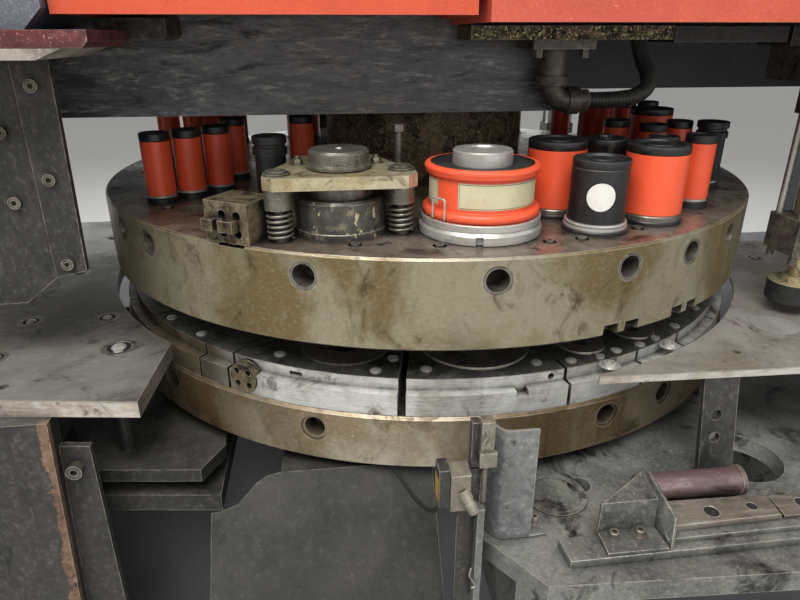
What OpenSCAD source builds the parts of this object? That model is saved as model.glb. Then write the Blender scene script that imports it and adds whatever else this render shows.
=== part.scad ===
// A numerically controlled turret punch press with a bridge frame, seen from its tool side.
// The origin lies on the floor below the turret axis. The tool side faces -Y, the ram side +Y.
// Angles of stations are counted about the turret axis from -Y towards +X.

/* [Turrets] */
// Height of the upper turret's top face above the floor
turret_top_z = 1100; // [1000:5:1200]
// Radius of the upper turret disc
upper_r = 640; // [632:1:646]
// Thickness of the upper turret disc
upper_t = 131; // [120:1:140]
// Radius of the lower turret disc
lower_r = 637; // [634:1:644]
// Thickness of the lower turret disc
lower_t = 86; // [70:1:100]
// Drop from the top face to the sheet's pass line
pass_drop = 186; // [176:1:200]
// Height of a die holder from the lower disc to the pass line
holder_h = 53; // [48:1:60]
// Radius of the rusty hub column
hub_r = 205; // [190:1:215]
// Radius of both turret shafts
shaft_r = 110; // [90:1:120]

/* [Tools] */
// Radius of a small tool
small_r = 23.8; // [20:0.1:24.5]
// Radius of a medium tool
medium_r = 44.5; // [40:0.1:45.5]
// Radius of the large tool's guide in its bore
large_r = 79.2; // [74:0.1:80]
// Height of the orange sleeves above the turret
sleeve_top = 102; // [94:1:106]
// Height of the tool heads above the turret
head_top = 115; // [108:1:118]
// Play between a tool and its bore, on the radius
tool_play = 0.4; // [0.2:0.1:0.8]

/* [Ram] */
// Distance of the tool tracks' working circle from the turret axis
station_r = 508; // [500:1:516]
// Radius of the ram
ram_r = 60; // [50:1:66]
// Stroke of the ram
ram_stroke = 30; // [20:1:31]
// Height of the resting ram's face above the turret
ram_face = 120.5; // [119:0.5:124]

/* [Frame] */
// Clear half width between the side frames
throat_w = 1420; // [1400:5:1500]
// Width of one side frame
column_w = 200; // [160:5:240]
// Height of the frame
frame_h = 2050; // [1950:5:2200]
// Tool side face of the frame
rear_y = -320; // [-330:1:-310]
// Ram side face of the frame
front_y = 660; // [655:1:700]
// Thickness of the frame's plates
plate_t = 40; // [30:1:40]
// Gap between the base frame's top and the lower disc
base_gap = 80; // [75:1:95]
// Underside of the turret carrier above the turret
carrier_z = 143; // [140:1:150]
// Underside of the upper frame above the turret
frame_under = 252; // [248:1:256]

/* [Tables] */
// Thickness of the left table
left_table_t = 25; // [18:1:30]
// Thickness of the right table
right_table_t = 12; // [10:1:20]
// Radius of the tables' round cut-out
table_arc_r = 650; // [648:1:660]
// Gap between a table's end and the side frame
table_side_gap = 130; // [120:5:220]
// Distance of the corner box's left side from the side frame
corner_box_inset = 420; // [400:5:500]
// Drop from the turret's top to the deck
deck_drop = 350; // [345:1:355]

/* [Index pins] */
// Radius of an index pin
pin_r = 15.9; // [14:0.1:15.9]
// Travel of an index pin
pin_travel = 40; // [30:1:42]
// Depth of the index holes below a disc's top
rim_hole_drop = 31; // [28:1:36]

/* [Hidden] */
$fn = 96;

// Heights above the floor
upper_bottom_z = turret_top_z - upper_t;
pass_z = turret_top_z - pass_drop;
lower_top_z = pass_z - holder_h;
lower_bottom_z = lower_top_z - lower_t;
base_h = lower_bottom_z - base_gap;
deck_z = turret_top_z - deck_drop;
carrier_bottom_z = turret_top_z + carrier_z;
frame_bottom_z = turret_top_z + frame_under;

// Ends of the tables and of the corner box
table_w = throat_w - table_side_gap;
corner_box_x = -throat_w + corner_box_inset;

// Clearances
slide_play = 0.1;
turn_gap = 5;
seat_gap = 0.3;

// Index holes, as angles on the rims; the pins work on the hole opposite pin_hole_a
pin_hole_a = 17.5;
rim_hole_angles = [-58.5, -49.5, -22.9, 0, pin_hole_a, 29.1, 40.8, 58, 76, 94, 112, 130, 148, 166,
                   pin_hole_a + 180, -144, -126, -108, -90, -74];
bush_r = 21;
bush_bore_r = pin_r + 0.3;
pin_gap = 12;
bush_l = pin_travel - pin_gap + 4;

// Tool stations as [angle, radius]
small_stations = [[-59.7, 565], [-60.5, 510], [-62.3, 453], [42.5, 567], [36.5, 530], [52, 469],
                  [60.4, 506], [56.5, 400], [-74.8, 400], [-71.4, 270], [100, 565], [101, 510],
                  [-102, 565], [-103, 510], [125, 510], [-130, 565]];
black_small_stations = [[58.9, 562], [-39.2, 470]];
medium_stations = [[29.1, 562], [18, 456], [85.4, 496], [115, 540], [-118, 540], [145, 540], [-148, 500]];
black_medium_stations = [[17.9, 556]];
stub_station = [27.6, 479.5];
stub_r = 32;
vacant_small = [[-51.5, 546], [68, 565], [76, 565], [-88, 565], [-90, 510]];
large_station = [0.6, station_r];
struck_station = [180, station_r];

// The auto index station stands square to the frame, not to the turret's radius
index_x = -194;
index_y = -488;
drum_r = 66;
drum_h = 54;
index_plate_z = 73;
index_plate_t = 17;
posts = [[-84, -41], [84, -24]];
plate_studs = [[-58, 28], [54, 28]];
post_r = 8;
collar_r = 19.5;
collar_z = 45;
spring_mean_r = 16;
spring_wire_r = 2.3;
spring_turns = 5.5;
stem_r = 47;
puck_r = 42;

function polar(a, r) = [r * sin(a), -r * cos(a)];

module at_station(s, z = turret_top_z) {
    translate([polar(s[0], s[1])[0], polar(s[0], s[1])[1], z]) rotate([0, 0, s[0]]) children();
}

// A cylinder that lies along the radius at an angle, from radius r0 outwards
module radial_rod(a, r0, z, r, l) {
    translate([polar(a, r0)[0], polar(a, r0)[1], z]) rotate([0, 0, a]) rotate([90, 0, 0]) cylinder(r = r, h = l);
}

module ring(r_out, r_in, h) {
    difference() {
        cylinder(r = r_out, h = h);
        translate([0, 0, -1]) cylinder(r = r_in, h = h + 2);
    }
}

module box(x, y, z) {
    translate([x[0], y[0], z[0]]) cube([x[1] - x[0], y[1] - y[0], z[1] - z[0]]);
}

// A plate in the XZ plane, from the face y0 to the face y1
module wall_plate(points, y0, y1) {
    translate([0, y1, 0]) rotate([90, 0, 0]) linear_extrude(y1 - y0) polygon(points);
}

module cap_screw(r, h) {
    difference() {
        cylinder(r = r, h = h);
        translate([0, 0, h * 0.4]) cylinder(r = r * 0.5, h = h, $fn = 6);
    }
}

// Frame

shaft_top_z = turret_top_z + 460;
bearing_r = 160;
bearing_h = 70;
lower_shaft_bottom_z = 420;
slug_r = 62;
slug_exit_h = 260;
foot_w = 90;
foot_t = 40;
anchor_r = 13;
anchor_x = throat_w + column_w + foot_w / 2;
anchor_y = [rear_y + 90, front_y - 90];
drive_x = -(throat_w - 80);

module base_frame() {
    color([0.13, 0.135, 0.14]) difference() {
        box([-throat_w, throat_w], [rear_y, front_y], [0, base_h]);
        translate([0, 0, lower_shaft_bottom_z - 20]) cylinder(r = shaft_r + 2, h = base_h);
        translate([0, 0, base_h - bearing_h]) cylinder(r = bearing_r, h = bearing_h + 1);
        translate([0, station_r, slug_exit_h / 2]) cylinder(r = slug_r, h = base_h);
        box([-slug_r, slug_r], [station_r - slug_r, front_y + 1], [60, slug_exit_h]);
        translate([drive_x, 0, base_h - drive_shaft_seat - 2]) cylinder(r = drive_shaft_r + slide_play, h = drive_shaft_seat + 3);
    }
}

module side_frame() {
    difference() {
        union() {
            box([throat_w, throat_w + column_w], [rear_y, front_y], [0, frame_h]);
            box([throat_w + column_w, throat_w + column_w + foot_w], [rear_y, front_y], [0, foot_t]);
        }
        for (y = anchor_y) translate([anchor_x, y, -1]) cylinder(r = anchor_r, h = foot_t + 2);
    }
}

module side_frames() {
    color([0.2, 0.21, 0.22]) {
        side_frame();
        mirror([1, 0, 0]) side_frame();
    }
}

carrier_end_x = 171;
carrier_t = 40;
front_drop = 103;
rib_x = 260;
gland_shelf_z = frame_bottom_z + 60;

module upper_frame() {
    rear_outline = [[-throat_w, carrier_bottom_z], [carrier_end_x, carrier_bottom_z],
                    [carrier_end_x, frame_bottom_z], [throat_w, frame_bottom_z],
                    [throat_w, frame_h], [-throat_w, frame_h]];
    front_plate_z = turret_top_z + front_drop;
    color([0.2, 0.21, 0.22]) difference() {
        union() {
            wall_plate(rear_outline, rear_y, rear_y + plate_t);
            box([-throat_w, throat_w], [front_y - plate_t, front_y], [front_plate_z, frame_h]);
            box([-throat_w, carrier_end_x], [rear_y + plate_t, -rear_y],
                [carrier_bottom_z, carrier_bottom_z + carrier_t]);
            box([-throat_w, throat_w], [rear_y + plate_t, front_y - plate_t], [frame_h - plate_t, frame_h]);
            box([rib_x, rib_x + plate_t], [rear_y + plate_t, front_y - plate_t], [frame_bottom_z, frame_h - plate_t]);
            box([carrier_end_x, throat_w], [rear_y + plate_t, rear_y + plate_t + 130],
                [gland_shelf_z, gland_shelf_z + 20]);
            translate([0, 0, carrier_bottom_z]) cylinder(r = bearing_r + 40, h = 2 * bearing_h + 60);
        }
        translate([0, 0, carrier_bottom_z - 1]) cylinder(r = shaft_r + 3, h = 4 * bearing_h);
        translate([0, 0, carrier_bottom_z + 60]) cylinder(r = bearing_r, h = 4 * bearing_h);
        translate([drive_x, 0, carrier_bottom_z - 1]) cylinder(r = drive_shaft_r + slide_play, h = carrier_t + 2);
    }
}

module turret_bearings() {
    color([0.6, 0.6, 0.62]) {
        translate([0, 0, carrier_bottom_z + 60]) ring(bearing_r, shaft_r + slide_play, bearing_h);
        translate([0, 0, base_h - bearing_h]) ring(bearing_r, shaft_r + slide_play, bearing_h);
    }
}

// Covers and trim on the tool side

cover_depth_y = -560;
cover_t = 3;

// A folded sheet hood, open below and towards the frame, with a return flange along its foot
module hood(x0, x1, y0, z0, z1) {
    lip = 18;
    difference() {
        box([x0, x1], [y0, rear_y], [z0, z1]);
        box([x0 + cover_t, x1 - cover_t], [y0 + cover_t, rear_y + 1], [z0 + cover_t, z1 - cover_t]);
        box([x0 + cover_t, x1 - cover_t], [y0 + lip, rear_y + 1], [z0 - 1, z0 + 2 * cover_t]);
    }
}

module cover_left() {
    color([0.9, 0.32, 0.2]) hood(-510, -22, cover_depth_y, turret_top_z + 282, frame_h - 60);
}

module cover_right() {
    color([0.86, 0.3, 0.2]) hood(-9, throat_w - 20, cover_depth_y - 12, turret_top_z + 274, frame_h - 60);
}

// The grey cover left of the orange one, with the padded bar and the pale strip below it
module side_cover() {
    x1 = -513;
    chamfer = 22;
    z = turret_top_z + 266;
    color([0.35, 0.36, 0.38]) {
        difference() {
            wall_plate([[-throat_w + 20, z], [x1 - chamfer, z], [x1, z + chamfer],
                        [x1, frame_h - 60], [-throat_w + 20, frame_h - 60]], -575, rear_y);
            box([-throat_w + 23, x1 - chamfer - 2], [-572, rear_y + 1], [z + 3, frame_h - 63]);
            box([-throat_w + 23, x1 - 3], [-572, rear_y + 1], [z + chamfer + 2, frame_h - 63]);
        }
        wall_plate([[-1100, z - 19], [-472, z - 19], [-465, z - 12], [-465, z - seat_gap], [-1100, z - seat_gap]],
                   -592, -424);
        wall_plate([[-1100, z - 31], [-520, z - 31], [-492, z - 19 - seat_gap], [-1100, z - 19 - seat_gap]],
                   -600, -424);
    }
}

module trim_plates() {
    z = turret_top_z;
    color([0.24, 0.23, 0.22]) {
        difference() {
            box([-510, -417], [-420, rear_y], [z + 254, z + 281]);
            translate([-417, -421, z + 254]) rotate([-90, 0, 0]) difference() {
                translate([-8, -8, 0]) cube([9, 9, 130]);
                translate([-8, -8, 0]) cylinder(r = 8, h = 130);
            }
        }
        box([4, 130], [-412, rear_y], [z + 253, z + 272]);
        box([131, 312], [-412, rear_y], [z + 253, z + 272]);
        box([320, 505], [-402, rear_y], [z + 249, z + 271]);
        box([512, 900], [-402, rear_y], [z + 244, z + 271]);
    }
}

// The tapered sheet metal box that hangs beside the turret
module left_bracket() {
    z = turret_top_z;
    top_z = z + 234.7;
    face_y = -500;
    color([0.17, 0.175, 0.18]) {
        wall_plate([[-760, z - 90], [-638, z - 87], [-590, z - 50], [-590, top_z], [-760, top_z]],
                   face_y, face_y + 6);
        wall_plate([[-590, z - 50], [-584, z - 48], [-549, z - 42], [-543, top_z], [-590, top_z]],
                   face_y - 5, face_y + 6);
        box([-760, -754], [face_y + 6, rear_y], [z - 60, top_z]);
        box([-650, -644], [face_y + 6, rear_y], [z + 150, top_z]);
        box([-754, -650], [face_y + 6, rear_y], [top_z - 6, top_z]);
    }
}

module frame_screws() {
    z = turret_top_z;
    bracket_face_y = -500;
    bracket_screws = [[-567, 203], [-570, 87], [-570, -29]];
    body_screws = [[-618, 147], [-621, 57]];
    color([0.45, 0.45, 0.46]) {
        for (p = bracket_screws) translate([p[0], bracket_face_y - 5, z + p[1]]) rotate([90, 0, 0]) cap_screw(8, 8);
        for (p = body_screws) translate([p[0], bracket_face_y, z + p[1]]) rotate([90, 0, 0]) cap_screw(8, 8);
        translate([-580, -600, z - 299]) rotate([90, 0, 0]) cap_screw(11, 14);
        for (p = [[143, -768], [184, -766]]) translate([p[0], p[1], deck_z + 5]) cap_screw(9, 9);
        for (p = guide_screws) translate([p[0], p[1], deck_z + 5]) cap_screw(8 - seat_gap, 14);
    }
}

// Tables

left_front = [[-1290, -597], [-656, -597], [-475, -622], [-467, -449]];
table_back_y = 290;
right_back_y = -70;

module left_table() {
    color([0.27, 0.265, 0.26]) difference() {
        translate([0, 0, pass_z - left_table_t]) linear_extrude(left_table_t)
            polygon([[-table_w, table_back_y], [-table_w, left_front[0][1]], left_front[1], left_front[2],
                     left_front[3], [-400, -400], [-400, table_back_y]]);
        translate([0, 0, pass_z - left_table_t - 1]) cylinder(r = table_arc_r, h = left_table_t + 2, $fn = 180);
        for (b = table_balls_left) translate([b[0], b[1], pass_z - left_table_t - 1])
            cylinder(r = ball_cup_r, h = left_table_t + 2);
        translate([-668, -560, pass_z - left_table_t - 1]) cylinder(r = 7, h = left_table_t + 2);
    }
}

module right_table() {
    color([0.27, 0.265, 0.26]) difference() {
        translate([0, 0, pass_z - right_table_t]) linear_extrude(right_table_t)
            polygon([[159, -635], [159, -600], [400, -400], [500, right_back_y], [table_w, right_back_y],
                     [table_w, -655], [460, -643]]);
        translate([0, 0, pass_z - right_table_t - 1]) cylinder(r = table_arc_r, h = right_table_t + 2, $fn = 180);
        for (b = table_balls_right) translate([b[0], b[1], pass_z - right_table_t - 1])
            cylinder(r = ball_cup_r, h = right_table_t + 2);
        translate([396, -588, pass_z - right_table_t - 1]) cylinder(r = 7, h = right_table_t + 2);
        translate([517, -508, pass_z - right_table_t - 1]) cylinder(r = insert_r, h = right_table_t + 2);
    }
}

ball_r = 12.5;
ball_cup_r = 20;
ball_rise = 3;
insert_r = 38;
table_balls_left = [[-542, -468], [-596, -338], [-720, -468], [-720, -338], [-900, -468], [-900, -338],
                    [-720, -100], [-900, -100], [-720, 140], [-900, 140], [-1100, -468], [-1100, -100],
                    [-1100, 140]];
table_balls_right = [[703, -185], [860, -185], [860, -400], [703, -400], [1050, -185], [1050, -400],
                     [703, -580], [860, -580], [1050, -580]];

// A transfer ball in its cup
module ball_transfer(cup_h) {
    translate([0, 0, -cup_h]) difference() {
        cylinder(r = ball_cup_r, h = cup_h);
        translate([0, 0, cup_h + ball_rise - ball_r]) cylinder(r = ball_r, h = cup_h);
    }
    translate([0, 0, ball_rise - ball_r]) sphere(r = ball_r, $fn = 24);
}

module ball_transfers() {
    color([0.62, 0.62, 0.62]) {
        for (b = table_balls_left) translate([b[0], b[1], pass_z]) ball_transfer(left_table_t);
        for (b = table_balls_right) translate([b[0], b[1], pass_z]) ball_transfer(right_table_t);
        translate([517, -508, pass_z - right_table_t]) cylinder(r = insert_r - seat_gap, h = right_table_t + 1);
    }
}

// The post and strap that the photograph shows, and plain pedestals on the base
module table_supports() {
    color([0.2, 0.2, 0.2]) {
        translate([-549, -487, deck_z]) cylinder(r = 13, h = pass_z - left_table_t - deck_z);
        box([-1010, -930], [-310, -230], [base_h, pass_z - left_table_t]);
        box([-1010, -930], [200, 280], [base_h, pass_z - left_table_t]);
        box([930, 1010], [-310, -230], [base_h, pass_z - right_table_t]);
        difference() {
            translate([318, 0, 0]) rotate([90, 0, 90]) linear_extrude(54)
                polygon([[-668, deck_z], [-658, deck_z], [-628, pass_z - right_table_t], [-638, pass_z - right_table_t]]);
            for (z = [60, 95]) translate([340, -680, deck_z + z]) rotate([-90, 0, 0]) cylinder(r = 8, h = 60);
        }
    }
}

// Chute, platform, corner box and deck, on the tool side

chute_t = 4;

// A steep sheet with a rounded corner, an apron back to the base, and two gussets behind it
chute_slope = 50;
chute_top_y = -600;
chute_top_z = turret_top_z - 335;

// A point in the sheet's thickness, by its distance down the slope and its depth below the top face
function chute_point(l, depth) = [chute_top_y - l * cos(chute_slope) + depth * sin(chute_slope),
                                  chute_top_z - l * sin(chute_slope) - depth * cos(chute_slope)];

module chute() {
    length = 760;
    left_x = -400;
    corner_x = -300;
    right_x = -74;
    color([0.16, 0.165, 0.17]) {
        difference() {
            translate([left_x, 0, 0]) rotate([90, 0, 90]) linear_extrude(right_x - left_x)
                polygon([[rear_y + 20, base_h], [rear_y + 20, base_h + chute_t], [chute_top_y, chute_top_z],
                         chute_point(length, 0), chute_point(length, chute_t),
                         [chute_top_y + 3, chute_top_z - chute_t - 0.7], [rear_y, base_h]]);
            box([left_x - 1, corner_x], [chute_top_y + 1, rear_y + 21], [base_h - 1, chute_top_z + 5]);
            translate([0, chute_top_y, chute_top_z]) rotate([chute_slope - 90, 0, 0]) rotate([90, 0, 0])
                translate([0, 0, -20]) linear_extrude(40)
                    polygon([[corner_x - 4, 20], [corner_x - 4, -0.6], [-318, -3], [-335, -12], [-348, -26], [-362, -40],
                             [-385, -48], [left_x - 1, -50], [left_x - 1, 20]]);
        }
        for (x = [-290, -110]) translate([x, 0, 0]) rotate([90, 0, 90]) linear_extrude(chute_t)
            polygon([[rear_y, base_h - 220], [rear_y, base_h + 1], [chute_top_y + 6, chute_top_z - chute_t],
                     chute_point(130, chute_t / 2), chute_point(300, chute_t / 2)]);
        box([-142, -126], [-592, -580], [chute_top_z - 6, chute_top_z + 8]);
    }
}

module left_platform() {
    color([0.14, 0.145, 0.15]) {
        translate([0, 0, deck_z - 22]) linear_extrude(22)
            polygon([[-620, rear_y], [-620, -538], [-576, -542], [-424, -560], [-395, -501], [-411, rear_y]]);
        translate([0, 0, deck_z - 84]) linear_extrude(30)
            polygon([[-640, rear_y], [-640, -528], [-580, -534], [-400, -556], [-400, rear_y]]);
        box([-600, -430], [-500, rear_y], [deck_z - 54, deck_z - 22]);
    }
}

module corner_box() {
    z = turret_top_z;
    bottom = 40;
    color([0.2, 0.2, 0.21]) {
        wall_plate([[corner_box_x, z - pass_drop - left_table_t], [-594, z - pass_drop - left_table_t],
                    [-640, bottom], [corner_box_x, bottom]], -622, -590);
        wall_plate([[-600, z - 262], [-557, z - 266], [-557, bottom], [-700, bottom]], -600, -590);
        box([corner_box_x, -700], [-590, rear_y], [bottom, base_h]);
    }
}

deck_t = 30;
deck_hole = [134, -664];
big_hole = [410, -630];
big_hole_r = 62;
boss_r = 44;
boss_at = [92, -682];

module deck() {
    color([0.15, 0.155, 0.16]) difference() {
        union() {
            translate([0, 0, deck_z - deck_t]) linear_extrude(deck_t)
                polygon([[-30, rear_y], [-30, -752], [29, -837], [343, -853], [900, -880], [900, rear_y]]);
            translate([boss_at[0], boss_at[1], deck_z]) ring(boss_r, boss_r - 7, 3);
            for (x = [40, 620]) box([x, x + 30], [-700, rear_y], [deck_z - 300, deck_z - deck_t]);
        }
        translate([deck_hole[0], deck_hole[1], deck_z - deck_t - 1]) cylinder(r = 17, h = deck_t + 2);
        translate([big_hole[0], big_hole[1], deck_z - deck_t - 1]) cylinder(r = big_hole_r, h = deck_t + 2);
    }
}

guide_screws = [[345, -749], [290, -750]];

// The rail, the guide plate, the folded box and the round tube on the deck
module deck_guides() {
    color([0.25, 0.25, 0.26]) {
        translate([0, 0, deck_z]) linear_extrude(5) polygon([[72, -800], [70, -762], [225, -750], [392, -735], [385, -799]]);
        difference() {
            translate([0, 0, deck_z + 5]) linear_extrude(17) polygon([[227, -762], [393, -759], [380, -738], [234, -738]]);
            for (p = guide_screws) translate([p[0], p[1], deck_z]) cylinder(r = 8, h = 40);
        }
        difference() {
            wall_plate([[134, deck_z], [148, deck_z + 46], [196, deck_z + 46], [222, deck_z]], -752, -712);
            wall_plate([[142, deck_z - 1], [154, deck_z + 40], [190, deck_z + 40], [213, deck_z - 1]], -753, -716);
        }
        translate([228, -692, deck_z + 24]) rotate([0, 90, -3]) ring(19, 14, 145);
        box([240, 360], [-702, -688], [deck_z, deck_z + 7]);
    }
}

// The bent plate that carries the switch and the sensor
module sensor_bracket() {
    color([0.2, 0.2, 0.21]) {
        difference() {
            union() {
                box([-25, 36], [-756, -750], [deck_z, deck_z + 170]);
                box([-31, -25], [-762, -744], [deck_z, deck_z + 176]);
                box([36, 51], [-756, -747], [deck_z, deck_z + 170]);
            }
            translate([8, -760, deck_z + 96]) rotate([-90, 0, 0]) cylinder(r = 6, h = 20);
        }
        box([-70, -30.9], [-758, -754], [deck_z - 200, deck_z + 176]);
    }
}

module limit_switch() {
    z = turret_top_z;
    color([0.42, 0.4, 0.3]) {
        box([-56, -33], [-776, -758], [z - 232, z - 163]);
        translate([-44, -767, z - 163]) cylinder(r = 6, h = 14);
        box([-84, -42], [-790, -758], [z - 306, z - 238]);
        translate([-70, -790, z - 250]) rotate([90, 0, 0]) cylinder(r = 7, h = 12);
    }
}

cable_r = 3;
cable_points = [[-84, -774, -262], [-90, -773, -265], [-95, -768, -275], [-99, -755, -292], [-106, -730, -308],
                [-114, -700, -318], [-122, -668, -322], [-129, -640, -326], [-133, -615, -331], [-134, -592, -332]];

// A plain tube along a list of points, one ring of sides at each of them
function unit(v) = v / norm(v);
function heading(p, i) = unit(p[min(i + 1, len(p) - 1)] - p[max(i - 1, 0)]);
function side(t) = unit(cross(t, abs(t[2]) > 0.9 ? [0, 1, 0] : [0, 0, 1]));
function tube_points(p, r, n) = [for (i = [0:len(p) - 1]) for (k = [0:n - 1])
    let (t = heading(p, i), u = side(t), v = cross(u, t))
    p[i] + r * (cos(360 * k / n) * u + sin(360 * k / n) * v)];
function tube_faces(m, n) = concat(
    [for (i = [0:m - 2]) for (k = [0:n - 1])
        [i * n + k, i * n + (k + 1) % n, (i + 1) * n + (k + 1) % n, (i + 1) * n + k]],
    [[for (k = [n - 1:-1:0]) k]],
    [[for (k = [0:n - 1]) (m - 1) * n + k]]);
// Points of a smooth curve through p, with s steps between neighbours
function curve_at(p, i, f) = let (
    a = p[max(i - 1, 0)], b = p[i], c = p[min(i + 1, len(p) - 1)], d = p[min(i + 2, len(p) - 1)])
    b + f / 2 * ((c - a) + f * ((2 * a - 5 * b + 4 * c - d) + f * (3 * (b - c) + d - a)));
function smooth(p, s) = [for (i = [0:len(p) - 2]) for (k = [0:s - 1]) curve_at(p, i, k / s), p[len(p) - 1]];

module tube(p, r, n) {
    polyhedron(points = tube_points(p, r, n), faces = tube_faces(len(p), n));
}

module sensor_cable() {
    route = [for (p = cable_points) p + [0, 0, turret_top_z]];
    color([0.05, 0.05, 0.05]) tube(smooth(route, 3), cable_r, 8);
}

// The pipe elbow with its flange plate, its clamp and the gland where the hose ends
elbow_r = 17;
elbow_x = 149;
elbow_y = -362;
elbow_bend_z = 163;
hose_r = 13;
hose_points = [[208, -362, 163], [235, -362, 163], [265, -360, 164], [292, -352, 167], [315, -338, 174], [332, -318, 184],
               [341, -292, 200], [343, -262, 222], [343, -240, 250], [343, -228, 280], [343, -225, 306]];

module conduit_elbow() {
    z = turret_top_z;
    bend = 26;
    color([0.2, 0.2, 0.2]) {
        box([101, 196], [-405, rear_y - 1], [z + 240, z + 253]);
        for (p = [[112, -392], [184, -392]]) translate([p[0], p[1], z + 228]) cylinder(r = 8, h = 12, $fn = 6);
        translate([elbow_x, elbow_y, z + 196]) cylinder(r = elbow_r + 3, h = 44);
        translate([elbow_x, elbow_y, z + 188]) cylinder(r = elbow_r + 9, h = 12);
        translate([elbow_x + bend, elbow_y, z + elbow_bend_z + bend]) rotate([90, 0, 0]) rotate([0, 0, 180])
            rotate_extrude(angle = 90, $fn = 48) translate([bend, 0]) circle(r = elbow_r, $fn = 32);
        translate([elbow_x + bend, elbow_y, z + elbow_bend_z]) rotate([0, 90, 0]) cylinder(r = elbow_r + 4, h = 18);
        translate([elbow_x + bend + 18, elbow_y, z + elbow_bend_z]) rotate([0, 90, 0]) cylinder(r = elbow_r, h = 15);
        translate([343, -225, z + 306]) cylinder(r = hose_r + 3, h = gland_shelf_z - z - 306);
    }
}

module conduit_hose() {
    route = [for (p = hose_points) p + [0, 0, turret_top_z]];
    color([0.07, 0.07, 0.07]) tube(smooth(route, 3), hose_r, 12);
}

// Worksheet holders: a short pneumatic cylinder between two blocks, with tie rods and a pad below

near_holder = [579, -452];
far_holder = [583, 760];
pad_r = 40;
pad_lift = 20;
rod_r = 12;

module holder_body(arm_y) {
    z = turret_top_z;
    translate([0, 0, z - 75]) difference() {
        translate([-45, -36, 0]) cube([90, 72, 60]);
        translate([0, 0, -1]) cylinder(r = rod_r + slide_play, h = 40);
    }
    translate([0, 0, z - 15]) cylinder(r = 27, h = 160);
    for (x = [-36, 36]) for (y = [-27, 27]) translate([x, y, z - 90]) cylinder(r = 6, h = 240);
    translate([-45, -36, z + 145]) cube([90, 72, 45]);
    translate([-40, min(arm_y, -36), z + 190]) cube([80, abs(arm_y) + 36, 54]);
}

module holder_bodies() {
    color([0.22, 0.22, 0.23]) {
        translate([near_holder[0], near_holder[1], 0]) holder_body(rear_y - near_holder[1]);
        translate([far_holder[0], far_holder[1], 0]) holder_body(front_y - far_holder[1]);
    }
}

module holder_pad() {
    z = pass_z + pad_lift;
    translate([0, 0, z]) cylinder(r1 = pad_r - 4, r2 = pad_r, h = 5);
    translate([0, 0, z + 5]) cylinder(r = pad_r, h = 32);
    translate([0, 0, z + 37]) cylinder(r = 20, h = 10);
    translate([0, 0, z + 47]) cylinder(r = rod_r, h = 80);
}

module holder_pad_near() {
    color([0.1, 0.1, 0.1]) translate([near_holder[0], near_holder[1], 0]) holder_pad();
}

module holder_pad_far() {
    color([0.1, 0.1, 0.1]) translate([far_holder[0], far_holder[1], 0]) holder_pad();
}

// Upper turret

notch_angles = [15.8, 19.2, 28, 31.5];
worm_a = -32.6;
worm_side = [-42, 30];
worm_depth = 60;
worm_h = 57;

module upper_turret() {
    chamfer = 3;
    color([0.42, 0.39, 0.31]) difference() {
        translate([0, 0, upper_bottom_z]) rotate_extrude($fn = 180)
            polygon([[60, 0], [upper_r - chamfer, 0], [upper_r, chamfer], [upper_r, upper_t - chamfer],
                     [upper_r - chamfer, upper_t], [60, upper_t]]);
        for (s = concat(small_stations, black_small_stations, vacant_small)) at_station(s, upper_bottom_z - 1)
            cylinder(r = small_r + tool_play, h = upper_t + 2);
        for (s = concat(medium_stations, black_medium_stations, [struck_station])) at_station(s, upper_bottom_z - 1)
            cylinder(r = medium_r + tool_play, h = upper_t + 2);
        at_station(stub_station, upper_bottom_z - 1) cylinder(r = stub_r + tool_play, h = upper_t + 2);
        at_station(large_station, upper_bottom_z - 1) cylinder(r = large_r + tool_play, h = upper_t + 2);
        at_station(large_station, turret_top_z - large_pocket) cylinder(r = large_ring_r + 0.5, h = large_pocket + 1);
        translate([index_x, index_y, upper_bottom_z - 1]) cylinder(r = drum_r - 7, h = upper_t + 2);
        for (a = rim_hole_angles) {
            radial_rod(a, upper_r - bush_l, turret_top_z - rim_hole_drop, bush_r, bush_l + 5);
        }
        for (a = notch_angles) at_station([a, upper_r], upper_bottom_z) translate([-13, -10, -1]) cube([26, 30, 18]);
        at_station([worm_a, upper_r], turret_top_z) translate([-22, -10, -4]) cube([44, 26, 5]);
        for (s = lifter_holes) at_station(s, turret_top_z - 8) cylinder(r = lifter_hole_r, h = 9);
    }
}

lifter_holes = [[-6.5, 584], [8.4, 588], [13.2, 590], [-17.6, 590], [23.6, 585], [36, 566], [-55, 575], [66, 520]];
lifter_hole_r = 10;
large_ring_r = 88;
large_pocket = 17;

module rim_bush(a, r, z) {
    difference() {
        radial_rod(a, r - bush_l, z, bush_r, bush_l - 0.5);
        radial_rod(a, r - bush_l - 1, z, bush_bore_r, bush_l + 5);
    }
}

module upper_index_bushes() {
    color([0.5, 0.48, 0.42]) for (a = rim_hole_angles) rim_bush(a, upper_r, turret_top_z - rim_hole_drop);
}

sprocket_z = turret_top_z + 395;
upper_sprocket_r = 190;

module sprocket(r, bore, teeth, h) {
    tooth = 8;
    difference() {
        cylinder(r = r - tooth, h = h);
        translate([0, 0, -1]) cylinder(r = bore, h = h + 2);
    }
    for (i = [0:teeth - 1]) rotate([0, 0, 360 * i / teeth]) translate([r - tooth - 1, -4, 0]) cube([tooth + 1, 8, h]);
}

module upper_hub() {
    color([0.4, 0.27, 0.17]) {
        translate([0, 0, turret_top_z]) cylinder(r = hub_r, h = carrier_z - turn_gap);
        translate([0, 0, turret_top_z - 60]) cylinder(r = 60, h = 60);
        translate([0, 0, turret_top_z + carrier_z - turn_gap]) cylinder(r = shaft_r, h = 460 - carrier_z + turn_gap);
        translate([0, 0, sprocket_z]) sprocket(upper_sprocket_r, shaft_r - 1, 36, 26);
    }
}

// Tools in the turret

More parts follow.
